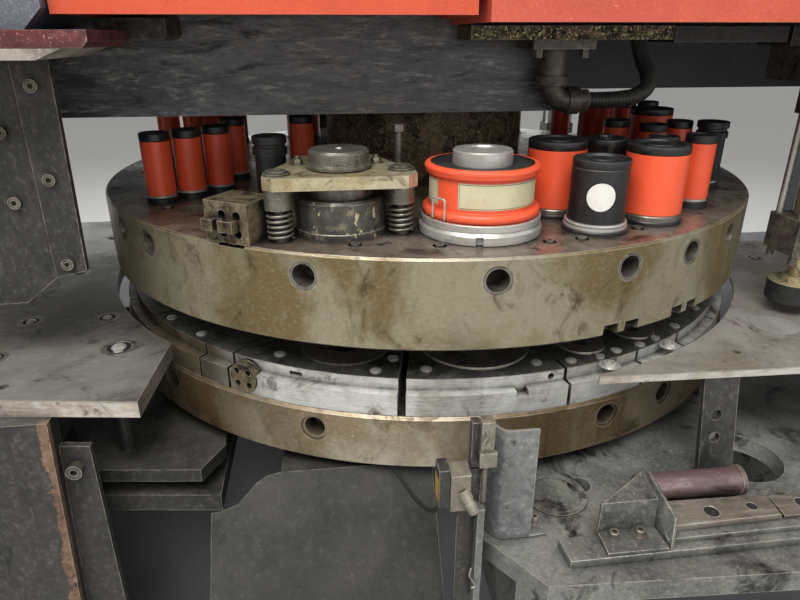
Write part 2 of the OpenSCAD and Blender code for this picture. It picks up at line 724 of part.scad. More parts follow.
// A small tool: a flanged base, a straight sleeve and the guide below it in the bore
module small_guide() {
    rotate_extrude() polygon([[0, -110], [small_r - 3, -110], [small_r, -104], [small_r, 0], [small_r + 1.6, 0],
        [small_r + 1.6, 9], [small_r - 0.6, 11], [small_r - 0.6, 14], [small_r, 15], [small_r, sleeve_top], [0, sleeve_top]]);
}

module small_head() {
    rotate_extrude() polygon([[0, sleeve_top], [small_r - 1, sleeve_top], [small_r, sleeve_top + 2],
        [small_r, head_top - 1.5], [small_r - 1.5, head_top], [small_r - 6, head_top], [small_r - 7, head_top - 2],
        [0, head_top - 2]]);
}

// The stepped head of the tall small tool
module tall_head() {
    head_r = small_r + 3;
    rotate_extrude() polygon([[0, sleeve_top - 12], [head_r, sleeve_top - 12], [head_r, sleeve_top - 2],
        [head_r - 3, sleeve_top], [head_r - 3, sleeve_top + 3], [head_r, sleeve_top + 5], [head_r, head_top + 2],
        [head_r - 2, head_top + 3], [0, head_top + 3]]);
}

module small_guides() {
    color([0.88, 0.33, 0.2]) for (s = small_stations) at_station(s) small_guide();
}

module small_guide_heads() {
    color([0.09, 0.09, 0.09]) {
        for (s = small_stations) at_station(s) small_head();
        for (s = black_small_stations) at_station(s) {
            small_guide();
            tall_head();
        }
    }
}

module medium_guide() {
    rotate_extrude() polygon([[0, -120], [medium_r - 4, -120], [medium_r, -112], [medium_r, 0], [medium_r + 1.6, 0],
        [medium_r + 1.6, 5], [medium_r + 0.5, 7], [medium_r + 0.5, 13], [medium_r - 1, 15], [medium_r, 16],
        [medium_r, sleeve_top], [0, sleeve_top]]);
}

module medium_head() {
    rotate_extrude() polygon([[0, sleeve_top], [medium_r - 1, sleeve_top], [medium_r, sleeve_top + 1.5],
        [medium_r, head_top - 3], [medium_r - 2, head_top], [medium_r - 9, head_top], [medium_r - 11, head_top - 4],
        [medium_r - 26, head_top - 4], [medium_r - 27, head_top - 1], [0, head_top - 1]]);
}

module medium_guides() {
    color([0.88, 0.33, 0.2]) for (s = medium_stations) at_station(s) medium_guide();
}

// A black guide with two studs on its lid
module stub_guide() {
    rotate_extrude() polygon([[0, -110], [stub_r, -110], [stub_r, 0], [stub_r + 2, 0], [stub_r + 2, 8],
        [stub_r, 10], [stub_r, head_top - 2], [stub_r - 2, head_top - 1], [0, head_top - 1]]);
    for (x = [-9, 7]) translate([x, 4, head_top - 1]) cylinder(r = 3, h = 5, $fn = 16);
}

module medium_guide_heads() {
    color([0.09, 0.09, 0.09]) {
        for (s = medium_stations) at_station(s) medium_head();
        for (s = black_medium_stations) at_station(s) {
            medium_guide();
            medium_head();
        }
        at_station(stub_station) stub_guide();
    }
}

// The large tool: steel ring, orange body with two rounded flanges, and the head that the ram strikes
large_lip_r = 81;
large_body_r = 74;
large_lip_z = 98;
striker_r = 42;
striker_drop = 17;

module large_guide() {
    color([0.9, 0.34, 0.2]) at_station(large_station) difference() {
        rotate_extrude() polygon(concat(
            [[0, -118], [large_r - 4, -118], [large_r, -110], [large_r, 1], [large_ring_r, 1], [large_ring_r, 12],
             [large_ring_r - 4, 18], [large_lip_r - 3, 18], [large_lip_r - 3, 36], [large_lip_r - 6, 40],
             [large_body_r, 41], [large_body_r, 84], [large_lip_r - 2, 86]],
            [for (t = [0:30:90]) [large_lip_r - 5 + 5 * cos(t), large_lip_z - 5 + 5 * sin(t)]],
            [[large_lip_r - 9, large_lip_z], [large_lip_r - 10, large_lip_z - 3], [0, large_lip_z - 3]]));
        translate([0, 0, large_lip_z - 3 - striker_drop - 1]) cylinder(r = striker_r + seat_gap, h = striker_drop + 10);
        translate([0, 0, -119]) cylinder(r = 30 + seat_gap, h = 220);
        rotate([0, 0, -14]) translate([-5, -large_ring_r - 2, 1]) cube([10, 8, 12]);
    }
}

module large_guide_head() {
    color([0.5, 0.5, 0.5]) at_station(large_station) {
        rotate_extrude() polygon([[0, large_lip_z - 3], [striker_r, large_lip_z - 3], [striker_r, head_top - 2],
            [striker_r - 2, head_top], [striker_r - 14, head_top], [striker_r - 15, head_top - 2], [0, head_top - 2]]);
        translate([0, 0, -100]) cylinder(r = 30, h = large_lip_z + 98);
    }
}

module struck_tool() {
    color([0.88, 0.33, 0.2]) at_station(struck_station) {
        translate([0, 0, -120]) cylinder(r = medium_r, h = 120 + sleeve_top);
        translate([0, 0, sleeve_top]) cylinder(r = medium_r - 1, h = ram_face - seat_gap - sleeve_top);
    }
}

// Lifter bolts in their recesses and the tall bolt beside the hub
tall_bolt = [-100, -400, 136];

module turret_screws() {
    color([0.4, 0.39, 0.36]) {
        for (s = lifter_holes) at_station(s, turret_top_z - 8) {
            cylinder(r = lifter_hole_r - 1, h = 3);
            translate([0, 0, 3]) cap_screw(6.5, 8);
        }
        translate([tall_bolt[0], tall_bolt[1], turret_top_z]) {
            cylinder(r = 6, h = tall_bolt[2] - 10);
            translate([0, 0, tall_bolt[2] - 10]) cylinder(r = 12, h = 10, $fn = 6);
            cylinder(r = 12, h = 9, $fn = 6);
        }
    }
}

// Auto index station

coupling_r = 28;
coupling_t = 14;
coupling_z = 27;

module indexer_block() {
    color([0.36, 0.32, 0.25]) difference() {
        at_station([worm_a, upper_r]) translate([worm_side[0], 2, 0])
            cube([worm_side[1] - worm_side[0], worm_depth, worm_h]);
        radial_rod(worm_a, upper_r - 2 - coupling_t - 1, turret_top_z + coupling_z, coupling_r + 1, 40);
        radial_rod(worm_a, upper_r - 50, turret_top_z + coupling_z, 8, 40);
    }
}

// The four hole coupling wheel with the key bar across its face
module coupling_wheel(r, hole_r) {
    difference() {
        cylinder(r = r, h = coupling_t);
        for (a = [45:90:315]) rotate([0, 0, a]) translate([r * 0.62, 0, -1]) cylinder(r = hole_r, h = coupling_t + 2);
    }
    translate([0, 0, -24]) cylinder(r = 7.9, h = 24);
}

module key_bar(l) {
    boss_h = 3;
    translate([0, 0, coupling_t]) cylinder(r = 8, h = boss_h);
    translate([-l * 0.7, -8, coupling_t + boss_h]) difference() {
        cube([l, 16, 12]);
        translate([l * 0.36, -1, 3]) cube([l * 0.18, 18, 12]);
    }
}

module indexer_coupling() {
    color([0.38, 0.35, 0.28]) translate([polar(worm_a, upper_r - 2 - coupling_t)[0],
        polar(worm_a, upper_r - 2 - coupling_t)[1], turret_top_z + coupling_z])
        rotate([0, 0, worm_a]) rotate([90, 0, 0]) {
            coupling_wheel(coupling_r, 6.5);
            key_bar(52);
        }
}

module indexer_drum() {
    color([0.17, 0.17, 0.17]) translate([index_x, index_y, turret_top_z]) difference() {
        rotate_extrude() polygon([[0, -120], [drum_r - 12, -120], [drum_r - 7.3, -114], [drum_r - 7.3, 0.3], [drum_r, 0.3],
            [drum_r, 10], [drum_r - 1, 11], [drum_r - 1, drum_h - 3], [drum_r - 4, drum_h], [0, drum_h]]);
        translate([0, 0, drum_h - 34]) cylinder(r = stem_r + 0.5, h = 40);
    }
}

module indexer_plate() {
    x = 103;
    color([0.55, 0.5, 0.38]) translate([index_x, index_y, turret_top_z + index_plate_z]) difference() {
        linear_extrude(index_plate_t) polygon([[14 - x, -68], [x - 14, -68], [x, -54], [x, -30], [x / 2, 100],
            [-x / 2, 100], [-x, -30], [-x, -54]]);
        translate([0, 0, -1]) cylinder(r = puck_r - 4, h = index_plate_t + 2);
        for (p = posts) translate([p[0], p[1], -1]) cylinder(r = post_r + 1, h = index_plate_t + 2);
    }
}

module indexer_striker() {
    z = index_plate_z + index_plate_t;
    color([0.3, 0.3, 0.3]) translate([index_x, index_y, turret_top_z]) {
        translate([0, 0, drum_h - 14]) cylinder(r = stem_r, h = index_plate_z - drum_h + 14);
        translate([0, 0, index_plate_z]) cylinder(r = puck_r - 4, h = index_plate_t);
        translate([0, 0, z]) rotate_extrude() polygon([[0, 0], [puck_r + 1, 0], [puck_r + 3, 2], [puck_r + 3, 6], [puck_r, 8],
            [puck_r, 23], [puck_r - 3, 26], [8, 26], [7, 24], [0, 24]]);
    }
}

// Collars, washers and nuts that ride on the plate
module indexer_fittings() {
    top = index_plate_z + index_plate_t;
    color([0.5, 0.48, 0.42]) translate([index_x, index_y, turret_top_z]) {
        for (p = posts) translate([p[0], p[1], 0]) {
            translate([0, 0, collar_z]) ring(collar_r, post_r + 1, index_plate_z - collar_z);
            translate([0, 0, top]) ring(18, post_r + 1, 3);
            translate([0, 0, top + 3]) ring(14, post_r + 1, 3);
        }
        for (p = plate_studs) translate([p[0], p[1], top]) {
            cylinder(r = 10, h = 2);
            translate([0, 0, 2]) cylinder(r = 7.5, h = 6, $fn = 6);
            translate([0, 0, 8]) cylinder(r = 4, h = 4);
        }
    }
}

module indexer_posts() {
    color([0.25, 0.25, 0.25]) translate([index_x, index_y, turret_top_z])
        for (p = posts) translate([p[0], p[1], 0]) {
            cylinder(r = post_r, h = index_plate_z + index_plate_t + 5);
            cylinder(r = post_r + 4, h = 22);
        }
}

function coil(r, h, turns, n) = [for (i = [0:turns * n]) let (a = 360 * i / n, f = i / (turns * n))
    [r * cos(a), r * sin(a), spring_wire_r + (h - 2 * spring_wire_r) * f]];

module indexer_springs() {
    color([0.55, 0.55, 0.56]) translate([index_x, index_y, turret_top_z])
        for (p = posts) translate([p[0], p[1], 0])
            tube(coil(spring_mean_r, collar_z - 0.2, spring_turns, 14), spring_wire_r, 8);
}

// Ram and index pins

ram_l = 330;

module ram_housing() {
    z = turret_top_z + 150;
    color([0.25, 0.26, 0.27]) translate([0, station_r, 0]) difference() {
        union() {
            translate([0, 0, z]) cylinder(r = ram_r + 50, h = 420);
            box([-ram_r - 50, ram_r + 50], [0, front_y - plate_t - station_r], [z, z + 420]);
        }
        translate([0, 0, z - 1]) cylinder(r = ram_r + slide_play, h = ram_l + ram_stroke);
    }
}

module ram() {
    z = turret_top_z + ram_face;
    color([0.6, 0.6, 0.61]) translate([0, station_r, z]) rotate_extrude()
        polygon([[0, 0], [ram_r - 8, 0], [ram_r - 6, 3], [ram_r - 6, 22], [ram_r, 26], [ram_r, ram_l], [0, ram_l]]);
}

pin_a = pin_hole_a + 180;
pin_l = 150;
pin_block_r0 = upper_r + 50;
pin_block_l = 150;

module pin_block(z) {
    at_station([pin_a, pin_block_r0], z) translate([-40, -pin_block_l, -40]) cube([80, pin_block_l, 80]);
}

module pin_bore(z) {
    radial_rod(pin_a, upper_r, z, pin_r + slide_play, pin_block_l + 40);
}

module pin_housings() {
    upper_z = turret_top_z - rim_hole_drop;
    lower_z = lower_top_z - rim_hole_drop;
    x = polar(pin_a, pin_block_r0 + 10)[0];
    color([0.25, 0.26, 0.27]) {
        difference() {
            union() {
                pin_block(upper_z);
                box([x - 70, x + 40], [front_y, front_y + 25], [upper_z - 20, turret_top_z + front_drop + 180]);
            }
            pin_bore(upper_z);
        }
        difference() {
            union() {
                pin_block(lower_z);
                box([x - 50, x + 40], [front_y - 20, front_y], [base_h, lower_z - 20]);
            }
            pin_bore(lower_z);
        }
    }
}

module index_pin(z) {
    nose = 12;
    translate([polar(pin_a, upper_r + pin_gap)[0], polar(pin_a, upper_r + pin_gap)[1], z])
        rotate([0, 0, pin_a]) rotate([90, 0, 0]) rotate_extrude()
            polygon([[0, 0], [pin_r - 4, 0], [pin_r, nose], [pin_r, pin_l], [0, pin_l]]);
}

module upper_index_pin() {
    color([0.6, 0.6, 0.61]) index_pin(turret_top_z - rim_hole_drop);
}

module lower_index_pin() {
    color([0.6, 0.6, 0.61]) index_pin(lower_top_z - rim_hole_drop);
}

// Lower turret

module lower_turret() {
    chamfer = 4;
    color([0.36, 0.29, 0.2]) difference() {
        translate([0, 0, lower_bottom_z]) rotate_extrude($fn = 180)
            polygon([[60, 0], [lower_r - chamfer, 0], [lower_r, chamfer], [lower_r, lower_t - chamfer],
                     [lower_r - chamfer, lower_t], [60, lower_t]]);
        for (s = die_stations) at_station(s, lower_bottom_z - 1) cylinder(r = s[2] * 0.7, h = lower_t + 2);
        for (a = rim_hole_angles) {
            radial_rod(a, lower_r - bush_l, lower_top_z - rim_hole_drop, bush_bore_r, bush_l + 1);
            radial_rod(a, lower_r - 3, lower_top_z - rim_hole_drop, bush_r, 8);
        }
    }
}

lower_sprocket_r = 190;
lower_sprocket_z = base_h + 22;

module lower_hub() {
    color([0.3, 0.25, 0.2]) {
        translate([0, 0, base_h + turn_gap]) cylinder(r = 170, h = lower_bottom_z - base_h - turn_gap);
        translate([0, 0, lower_bottom_z]) cylinder(r = 60, h = lower_t + 10);
        translate([0, 0, lower_shaft_bottom_z]) cylinder(r = shaft_r, h = base_h + turn_gap - lower_shaft_bottom_z);
        translate([0, 0, lower_sprocket_z]) sprocket(lower_sprocket_r, 160, 36, 26);
    }
}

// Die stations as [angle, radius, die radius]
large_die_r = 88;
medium_die_r = 40;
small_die_r = 20;
holder_in_r = 385;
holder_stations = [for (s = concat(small_stations, black_small_stations, [stub_station])) if (s[1] > holder_in_r + 10) s];
die_stations = concat(
    [[large_station[0], large_station[1], large_die_r]],
    [for (s = concat(medium_stations, black_medium_stations, [struck_station])) [s[0], s[1], medium_die_r]],
    [for (s = holder_stations) [s[0], s[1], small_die_r]]);
// The auto index station and its worm share one segment
holder_bounds = [-70, -57, -42, -36.3, -11.5, -10.9, 11.2, 23.8, 33.8, 46.5, 64, 78, 92, 108, 122, 136, 153,
                 168, 192, 205, 222, 234, 248, 262, 275, 290];
holder_top_r = 617;
holder_ledge_r = 632;
holder_ledge_drop = 19;
segment_gap = 0.25;

// One die holder: an annular segment with a ledge along its outer edge
module holder_segment(a0, a1) {
    translate([0, 0, lower_top_z]) rotate([0, 0, a0 - 90]) rotate_extrude(angle = a1 - a0, $fn = 180)
        polygon([[holder_in_r, 0], [holder_ledge_r, 0], [holder_ledge_r, holder_h - holder_ledge_drop],
                 [holder_top_r, holder_h - holder_ledge_drop + 1], [holder_top_r, holder_h], [holder_in_r, holder_h]]);
}

module die_holders() {
    color([0.4, 0.4, 0.39]) difference() {
        for (i = [0:len(holder_bounds) - 2])
            if (holder_bounds[i + 1] - holder_bounds[i] > 2)
                holder_segment(holder_bounds[i] + segment_gap, holder_bounds[i + 1] - segment_gap);
        for (s = die_stations) at_station(s, lower_top_z - 1) cylinder(r = s[2], h = holder_h + 2);
        translate([index_x, index_y, lower_top_z - 1]) cylinder(r = index_die_r + slide_play, h = holder_h + 2);
        radial_rod(lower_worm_a, holder_ledge_r - coupling_t - 9, lower_top_z + lower_coupling_z, lower_coupling_r + 0.6, 40);
        at_station([4.5, holder_ledge_r], lower_top_z + 26) translate([-9, -10, 0]) cube([18, 24, 9]);
        radial_rod(9, holder_top_r - 8, lower_top_z + 44, 5, 20);
        at_station([-26, holder_top_r], lower_top_z + 40) translate([-10, -6, 0]) cube([20, 12, 6]);
    }
}

lower_worm_a = -33.6;
lower_coupling_z = 26;
lower_coupling_r = 24;
index_die_r = 70;

module dies() {
    rise = 2;
    color([0.33, 0.33, 0.33]) for (s = die_stations) at_station(s, lower_top_z)
        rotate_extrude() polygon([[s[2] * 0.3, 0], [s[2] - seat_gap, 0], [s[2] - seat_gap, holder_h - 3],
            [s[2] - 3, holder_h + rise], [s[2] * 0.3, holder_h + rise]]);
}

screw_spots = [[-54, 600], [-45, 600], [-30, 590], [-15, 600], [-13, 560], [-8, 590], [8, 590],
               [13, 600], [21, 602], [25.5, 606], [35.5, 603], [45, 600], [62, 600]];
clamp_screws = [[17.5, 607], [29.1, 607]];

module die_holder_screws() {
    color([0.55, 0.55, 0.53]) {
        for (s = screw_spots) at_station(s, pass_z) intersection() {
            translate([0, 0, -12]) sphere(r = 16, $fn = 24);
            cylinder(r = 8.5, h = 4);
        }
        for (s = clamp_screws) at_station(s, pass_z) cap_screw(7, 3);
    }
}

module lower_index_die() {
    color([0.33, 0.33, 0.33]) translate([index_x, index_y, lower_top_z]) difference() {
        cylinder(r = index_die_r, h = holder_h + 2);
        translate([0, 0, -1]) cylinder(r = 30, h = holder_h + 4);
    }
}

module lower_coupling() {
    inset = coupling_t - 2;
    color([0.38, 0.35, 0.28]) translate([polar(lower_worm_a, holder_ledge_r - inset)[0],
        polar(lower_worm_a, holder_ledge_r - inset)[1], lower_top_z + lower_coupling_z])
        rotate([0, 0, lower_worm_a]) rotate([90, 0, 0]) difference() {
            cylinder(r = lower_coupling_r, h = coupling_t);
            for (a = [45:90:315]) rotate([0, 0, a]) translate([lower_coupling_r * 0.62, 0, -1]) cylinder(r = 5, h = coupling_t + 2);
        }
}

// Turret drive: one upright shaft turns both turrets by chains

drive_sprocket_r = 60;
drive_shaft_r = 25;
drive_shaft_seat = 118;

module drive_shaft() {
    color([0.5, 0.5, 0.51]) translate([drive_x, 0, 0]) {
        translate([0, 0, base_h - drive_shaft_seat])
            cylinder(r = drive_shaft_r, h = sprocket_z + 200 - base_h + drive_shaft_seat);
        translate([0, 0, sprocket_z]) sprocket(drive_sprocket_r, drive_shaft_r - 1, 12, 26);
        translate([0, 0, lower_sprocket_z]) sprocket(drive_sprocket_r, drive_shaft_r - 1, 12, 26);
    }
}

// The outline of a chain round a large wheel at the origin and a small one at drive_x
function chain_outline(r_large, r_small) = let (a = asin((r_large - r_small) / abs(drive_x)))
    concat([for (i = [0:24]) let (t = -90 - a + (180 + 2 * a) * i / 24) [r_large * cos(t), r_large * sin(t)]],
           [for (i = [0:12]) let (t = 90 + a + (180 - 2 * a) * i / 12) [drive_x + r_small * cos(t), r_small * sin(t)]]);

module chain(r_large) {
    link = 12;
    play = 1;
    translate([0, 0, 3]) linear_extrude(20) difference() {
        polygon(chain_outline(r_large + play + link, drive_sprocket_r + play + link));
        polygon(chain_outline(r_large + play, drive_sprocket_r + play));
    }
}

module drive_chains() {
    color([0.2, 0.2, 0.2]) {
        translate([0, 0, sprocket_z]) chain(upper_sprocket_r);
        translate([0, 0, lower_sprocket_z]) chain(lower_sprocket_r);
    }
}

base_frame();
side_frames();
upper_frame();
turret_bearings();
cover_left();
cover_right();
side_cover();
trim_plates();
left_bracket();
frame_screws();
left_table();
right_table();
ball_transfers();
table_supports();
chute();
left_platform();
corner_box();
deck();
deck_guides();
sensor_bracket();
limit_switch();
sensor_cable();
conduit_elbow();
conduit_hose();
holder_bodies();
holder_pad_near();
holder_pad_far();
upper_turret();
upper_index_bushes();
upper_hub();
small_guides();
small_guide_heads();
medium_guides();
medium_guide_heads();
turret_screws();
large_guide();
large_guide_head();
struck_tool();
indexer_block();
indexer_coupling();
indexer_drum();
indexer_plate();
indexer_striker();
indexer_fittings();
indexer_posts();
indexer_springs();
ram_housing();
ram();
pin_housings();
upper_index_pin();
lower_index_pin();
lower_turret();
lower_hub();
die_holders();
dies();
die_holder_screws();
lower_index_die();
lower_coupling();
drive_shaft();
drive_chains();
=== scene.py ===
"""Looks of the turret punch press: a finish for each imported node, and small pieces that ride on them."""
import math

import bmesh
import bpy
import numpy as np
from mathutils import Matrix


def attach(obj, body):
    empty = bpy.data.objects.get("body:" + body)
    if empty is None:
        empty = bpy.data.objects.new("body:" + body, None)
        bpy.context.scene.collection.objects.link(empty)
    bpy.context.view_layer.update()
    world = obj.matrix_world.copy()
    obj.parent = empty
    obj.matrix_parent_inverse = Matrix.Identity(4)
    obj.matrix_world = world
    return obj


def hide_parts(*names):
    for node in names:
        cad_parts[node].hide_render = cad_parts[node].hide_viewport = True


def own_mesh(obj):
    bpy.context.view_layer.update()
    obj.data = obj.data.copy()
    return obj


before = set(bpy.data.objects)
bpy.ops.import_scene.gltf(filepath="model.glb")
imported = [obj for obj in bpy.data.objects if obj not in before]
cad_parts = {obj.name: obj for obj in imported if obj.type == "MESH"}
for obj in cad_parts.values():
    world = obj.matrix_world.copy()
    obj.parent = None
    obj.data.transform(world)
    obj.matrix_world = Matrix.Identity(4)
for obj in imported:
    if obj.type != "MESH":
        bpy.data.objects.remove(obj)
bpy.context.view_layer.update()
MM = 0.001
FULL_TURN = 2.0 * np.pi
QUARTER_TURN = 0.5 * np.pi
UP = (0, 0, 1)
EVEN = (1, 1, 1)

# Heights in metres, as the frame has them
TURRET_TOP = 1.100
PASS_LINE = 0.914


# Camera, floor and light

def make_camera():
    """A camera on the tool side, a little left of the turret axis and looking down at it."""
    looks_down, roll, turn = 22.99, 0.07, -6.95
    data = bpy.data.cameras.new("tool_side_camera")
    data.lens = 28.11
    data.sensor_width = 36.0
    data.clip_start = 0.02
    data.clip_end = 60.0
    camera = bpy.data.objects.new("tool_side_camera", data)
    camera.location = (-0.2153, -1.3667, 1.3598)
    camera.rotation_euler = [math.radians(angle) for angle in (90.0 - looks_down, roll, turn)]
    bpy.context.collection.objects.link(camera)
    bpy.context.scene.camera = camera


def background(tree, colour, strength):
    node = tree.nodes.new("ShaderNodeBackground")
    node.inputs["Color"].default_value = (*colour, 1.0)
    node.inputs["Strength"].default_value = strength
    return node.outputs[0]


def make_stage():
    """A pale floor and a world that is pale to the camera and softer on the object."""
    just_below = -0.0005
    bpy.ops.mesh.primitive_plane_add(size=40.0, location=(0.0, 0.0, just_below))
    floor = bpy.context.object
    floor.name = "workshop_floor"
    floor_paint = bpy.data.materials.new("floor_paint")
    floor_paint.use_nodes = True
    shader = floor_paint.node_tree.nodes["Principled BSDF"]
    shader.inputs["Base Color"].default_value = (0.62, 0.60, 0.57, 1.0)
    shader.inputs["Roughness"].default_value = 0.8
    floor.data.materials.append(floor_paint)

    world = bpy.data.worlds.new("studio")
    bpy.context.scene.world = world
    world.use_nodes = True
    tree = world.node_tree
    tree.nodes.clear()
    out = tree.nodes.new("ShaderNodeOutputWorld")
    shown = background(tree, (0.86, 0.86, 0.85), 1.0)
    lighting = background(tree, (0.95, 0.97, 1.0), 0.40)
    path = tree.nodes.new("ShaderNodeLightPath").outputs
    mix = tree.nodes.new("ShaderNodeMixShader")
    tree.links.new(maths(tree, "MAXIMUM", path["Is Camera Ray"], path["Is Glossy Ray"]), mix.inputs["Fac"])
    tree.links.new(lighting, mix.inputs[1])
    tree.links.new(shown, mix.inputs[2])
    tree.links.new(mix.outputs[0], out.inputs["Surface"])


def make_lamp(name, place, aim, size, power, colour):
    """A soft square lamp that looks from its place at its aim."""
    data = bpy.data.lights.new(name, "AREA")
    data.shape = "RECTANGLE"
    data.size, data.size_y = size
    data.energy = power
    data.color = colour
    lamp = bpy.data.objects.new(name, data)
    lamp.location = place
    way = np.array(aim) - np.array(place)
    flat = math.hypot(way[0], way[1])
    lamp.rotation_euler = (math.atan2(flat, -way[2]), 0.0, math.atan2(-way[0], way[1]))
    bpy.context.collection.objects.link(lamp)


def make_lamps():
    """A large lamp high on the tool side, a weak one low down, and one behind the frame."""
    make_lamp("front_lamp", (-0.9, -2.6, 4.3), (0.0, -0.4, 0.9), (3.6, 2.0), 240.0, (1.0, 0.99, 0.96))
    make_lamp("low_lamp", (1.4, -4.0, 1.6), (0.0, -0.4, 1.0), (3.6, 1.6), 20.0, (1.0, 1.0, 0.98))
    make_lamp("rear_lamp", (0.5, 3.8, 3.4), (0.0, 0.3, 1.0), (4.0, 2.4), 150.0, (0.95, 0.98, 1.0))


# Shader nodes, and the node groups that all finishes share

def paint(red, green, blue):
    """A colour as a picture shows it, 0 to 255, in the linear values that a shader takes."""
    values = np.array([red, green, blue]) / 255.0
    linear = np.where(values <= 0.04045, values / 12.92, ((values + 0.055) / 1.055) ** 2.4)
    return (*[float(v) for v in linear], 1.0)


def new_group(name, inputs, outputs):
    """An empty node group. Each of its sockets is a label and a kind: Vector, Color or Float."""
    group = bpy.data.node_groups.new(name, "ShaderNodeTree")
    for way, sockets in (("INPUT", inputs), ("OUTPUT", outputs)):
        for label, kind in sockets:
            group.interface.new_socket(label, in_out=way, socket_type="NodeSocket" + kind)
    return group, group.nodes.new("NodeGroupInput").outputs, group.nodes.new("NodeGroupOutput").inputs


def feed(tree, socket, value):
    """Sets a socket to a number or a colour, or links it to another socket."""
    if isinstance(value, (int, float, tuple)):
        socket.default_value = value
    else:
        tree.links.new(value, socket)


def noise(tree, vector, scale, detail, roughness, distortion=0.0):
    node = tree.nodes.new("ShaderNodeTexNoise")
    for label, value in (("Vector", vector), ("Scale", scale), ("Detail", detail), ("Roughness", roughness),
                         ("Distortion", distortion)):
        feed(tree, node.inputs[label], value)
    return node.outputs["Fac"]


def span(tree, value, low, high, to_low=0.0, to_high=1.0):
    """Maps a value smoothly from low..high to to_low..to_high, held at both ends."""
    node = tree.nodes.new("ShaderNodeMapRange")
    node.interpolation_type = "SMOOTHSTEP"
    for label, end in (("Value", value), ("From Min", low), ("From Max", high), ("To Min", to_low),
                       ("To Max", to_high)):
        feed(tree, node.inputs[label], end)
    return node.outputs["Result"]


def maths(tree, operation, first, second=0.0):
    node = tree.nodes.new("ShaderNodeMath")
    node.operation = operation
    feed(tree, node.inputs[0], first)
    feed(tree, node.inputs[1], second)
    return node.outputs[0]


def times(tree, first, *factors):
    """The product of two or more values."""
    for factor in factors:
        first = maths(tree, "MULTIPLY", first, factor)
    return first


def plus(tree, first, second):
    return maths(tree, "ADD", first, second)


def blend(tree, factor, first, second, data="RGBA"):
    """Mixes two colours, or two values where data is FLOAT."""
    node = tree.nodes.new("ShaderNodeMix")
    node.data_type = data
    kind = "RGBA" if data == "RGBA" else "VALUE"
    ends = [socket for socket in node.inputs if socket.type == kind and socket.name != "Factor"]
    for socket, value in zip([node.inputs["Factor"], *ends], (factor, first, second)):
        feed(tree, socket, value)
    return [socket for socket in node.outputs if socket.type == kind][0]


def axis_value(tree, vector, axis):
    split = tree.nodes.new("ShaderNodeSeparateXYZ")
    tree.links.new(vector, split.inputs[0])
    return split.outputs[axis]


def surface_normal(tree):
    return tree.nodes.new("ShaderNodeNewGeometry").outputs["Normal"]


def make_weathering():
    """Large patches, stains, a fine grain and specks over a base colour, with their roughness and height.
    Patches and stains read one vector and the grain another, so that each may be stretched its own way.
    A larger amount of stains or specks lowers the noise value at which they start."""
    colours = [(label, "Color") for label in ("Base", "Patch", "Stain", "Speck")]
    values = [(label + part, "Float") for label in ("Patch", "Stain", "Speck", "Grain")
              for part in (" Scale", " Amount")]
    group, given, sink = new_group(
        "Weathering",
        [("Vector", "Vector"), ("Grain Vector", "Vector"), *colours, *values, ("Rough Low", "Float"),
         ("Rough High", "Float")],
        [("Color", "Color"), ("Roughness", "Float"), ("Height", "Float")])
    patches = noise(group, given["Vector"], given["Patch Scale"], 6.0, 0.66, 0.4)
    patch_mask = times(group, span(group, patches, 0.40, 0.60), given["Patch Amount"])
    stains = noise(group, given["Vector"], given["Stain Scale"], 9.0, 0.72, 1.0)
    stain_edge = maths(group, "SUBTRACT", 0.78, times(group, given["Stain Amount"], 0.42))
    stain_mask = span(group, stains, stain_edge, plus(group, stain_edge, 0.16))
    grain = noise(group, given["Grain Vector"], given["Grain Scale"], 5.0, 0.75)
    light_grain = times(group, span(group, grain, 0.50, 0.72), given["Grain Amount"])
    dark_grain = times(group, span(group, grain, 0.50, 0.28), given["Grain Amount"])
    specks = noise(group, given["Vector"], given["Speck Scale"], 2.0, 0.6)
    speck_edge = maths(group, "SUBTRACT", 0.76, times(group, given["Speck Amount"], 0.3))
    speck_mask = span(group, specks, speck_edge, plus(group, speck_edge, 0.06))
    colour = blend(group, patch_mask, given["Base"], given["Patch"])
    colour = blend(group, light_grain, colour, given["Speck"])
    colour = blend(group, maths(group, "MAXIMUM", stain_mask, dark_grain), colour, given["Stain"])
    colour = blend(group, speck_mask, colour, given["Speck"])
    group.links.new(colour, sink["Color"])
    rough = span(group, patches, 0.35, 0.65, given["Rough Low"], given["Rough High"])
    group.links.new(plus(group, rough, times(group, stain_mask, 0.14)), sink["Roughness"])
    height = plus(group, times(group, grain, 0.5), times(group, stains, 0.6))
    group.links.new(plus(group, height, times(group, speck_mask, 0.3)), sink["Height"])
    return group


def mask_group(name, *settings):
    """An empty group that makes a mask from a vector, the named settings and an amount."""
    labels = [("Vector", "Vector"), *[(label, "Float") for label in (*settings, "Amount")]]
    return new_group(name, labels, [("Mask", "Float")])


def make_edge_wear():
    """White on sharp edges, as wear and as painted highlight where a rounded edge would catch the light: a
    rounded copy's normal against the true one, broken by noise.
    """
    group, given, sink = mask_group("Edge Wear And Highlight", "Width")
    rounded = group.nodes.new("ShaderNodeBevel")
    rounded.samples = 4
    group.links.new(given["Width"], rounded.inputs["Radius"])
    dot = group.nodes.new("ShaderNodeVectorMath")
    dot.operation = "DOT_PRODUCT"
    group.links.new(rounded.outputs["Normal"], dot.inputs[0])
    group.links.new(surface_normal(group), dot.inputs[1])
    bend = span(group, dot.outputs["Value"], 0.995, 0.88)
    broken = span(group, noise(group, given["Vector"], 45.0, 5.0, 0.75), 0.34, 0.56)
    group.links.new(times(group, bend, broken, given["Amount"]), sink["Mask"])
    return group


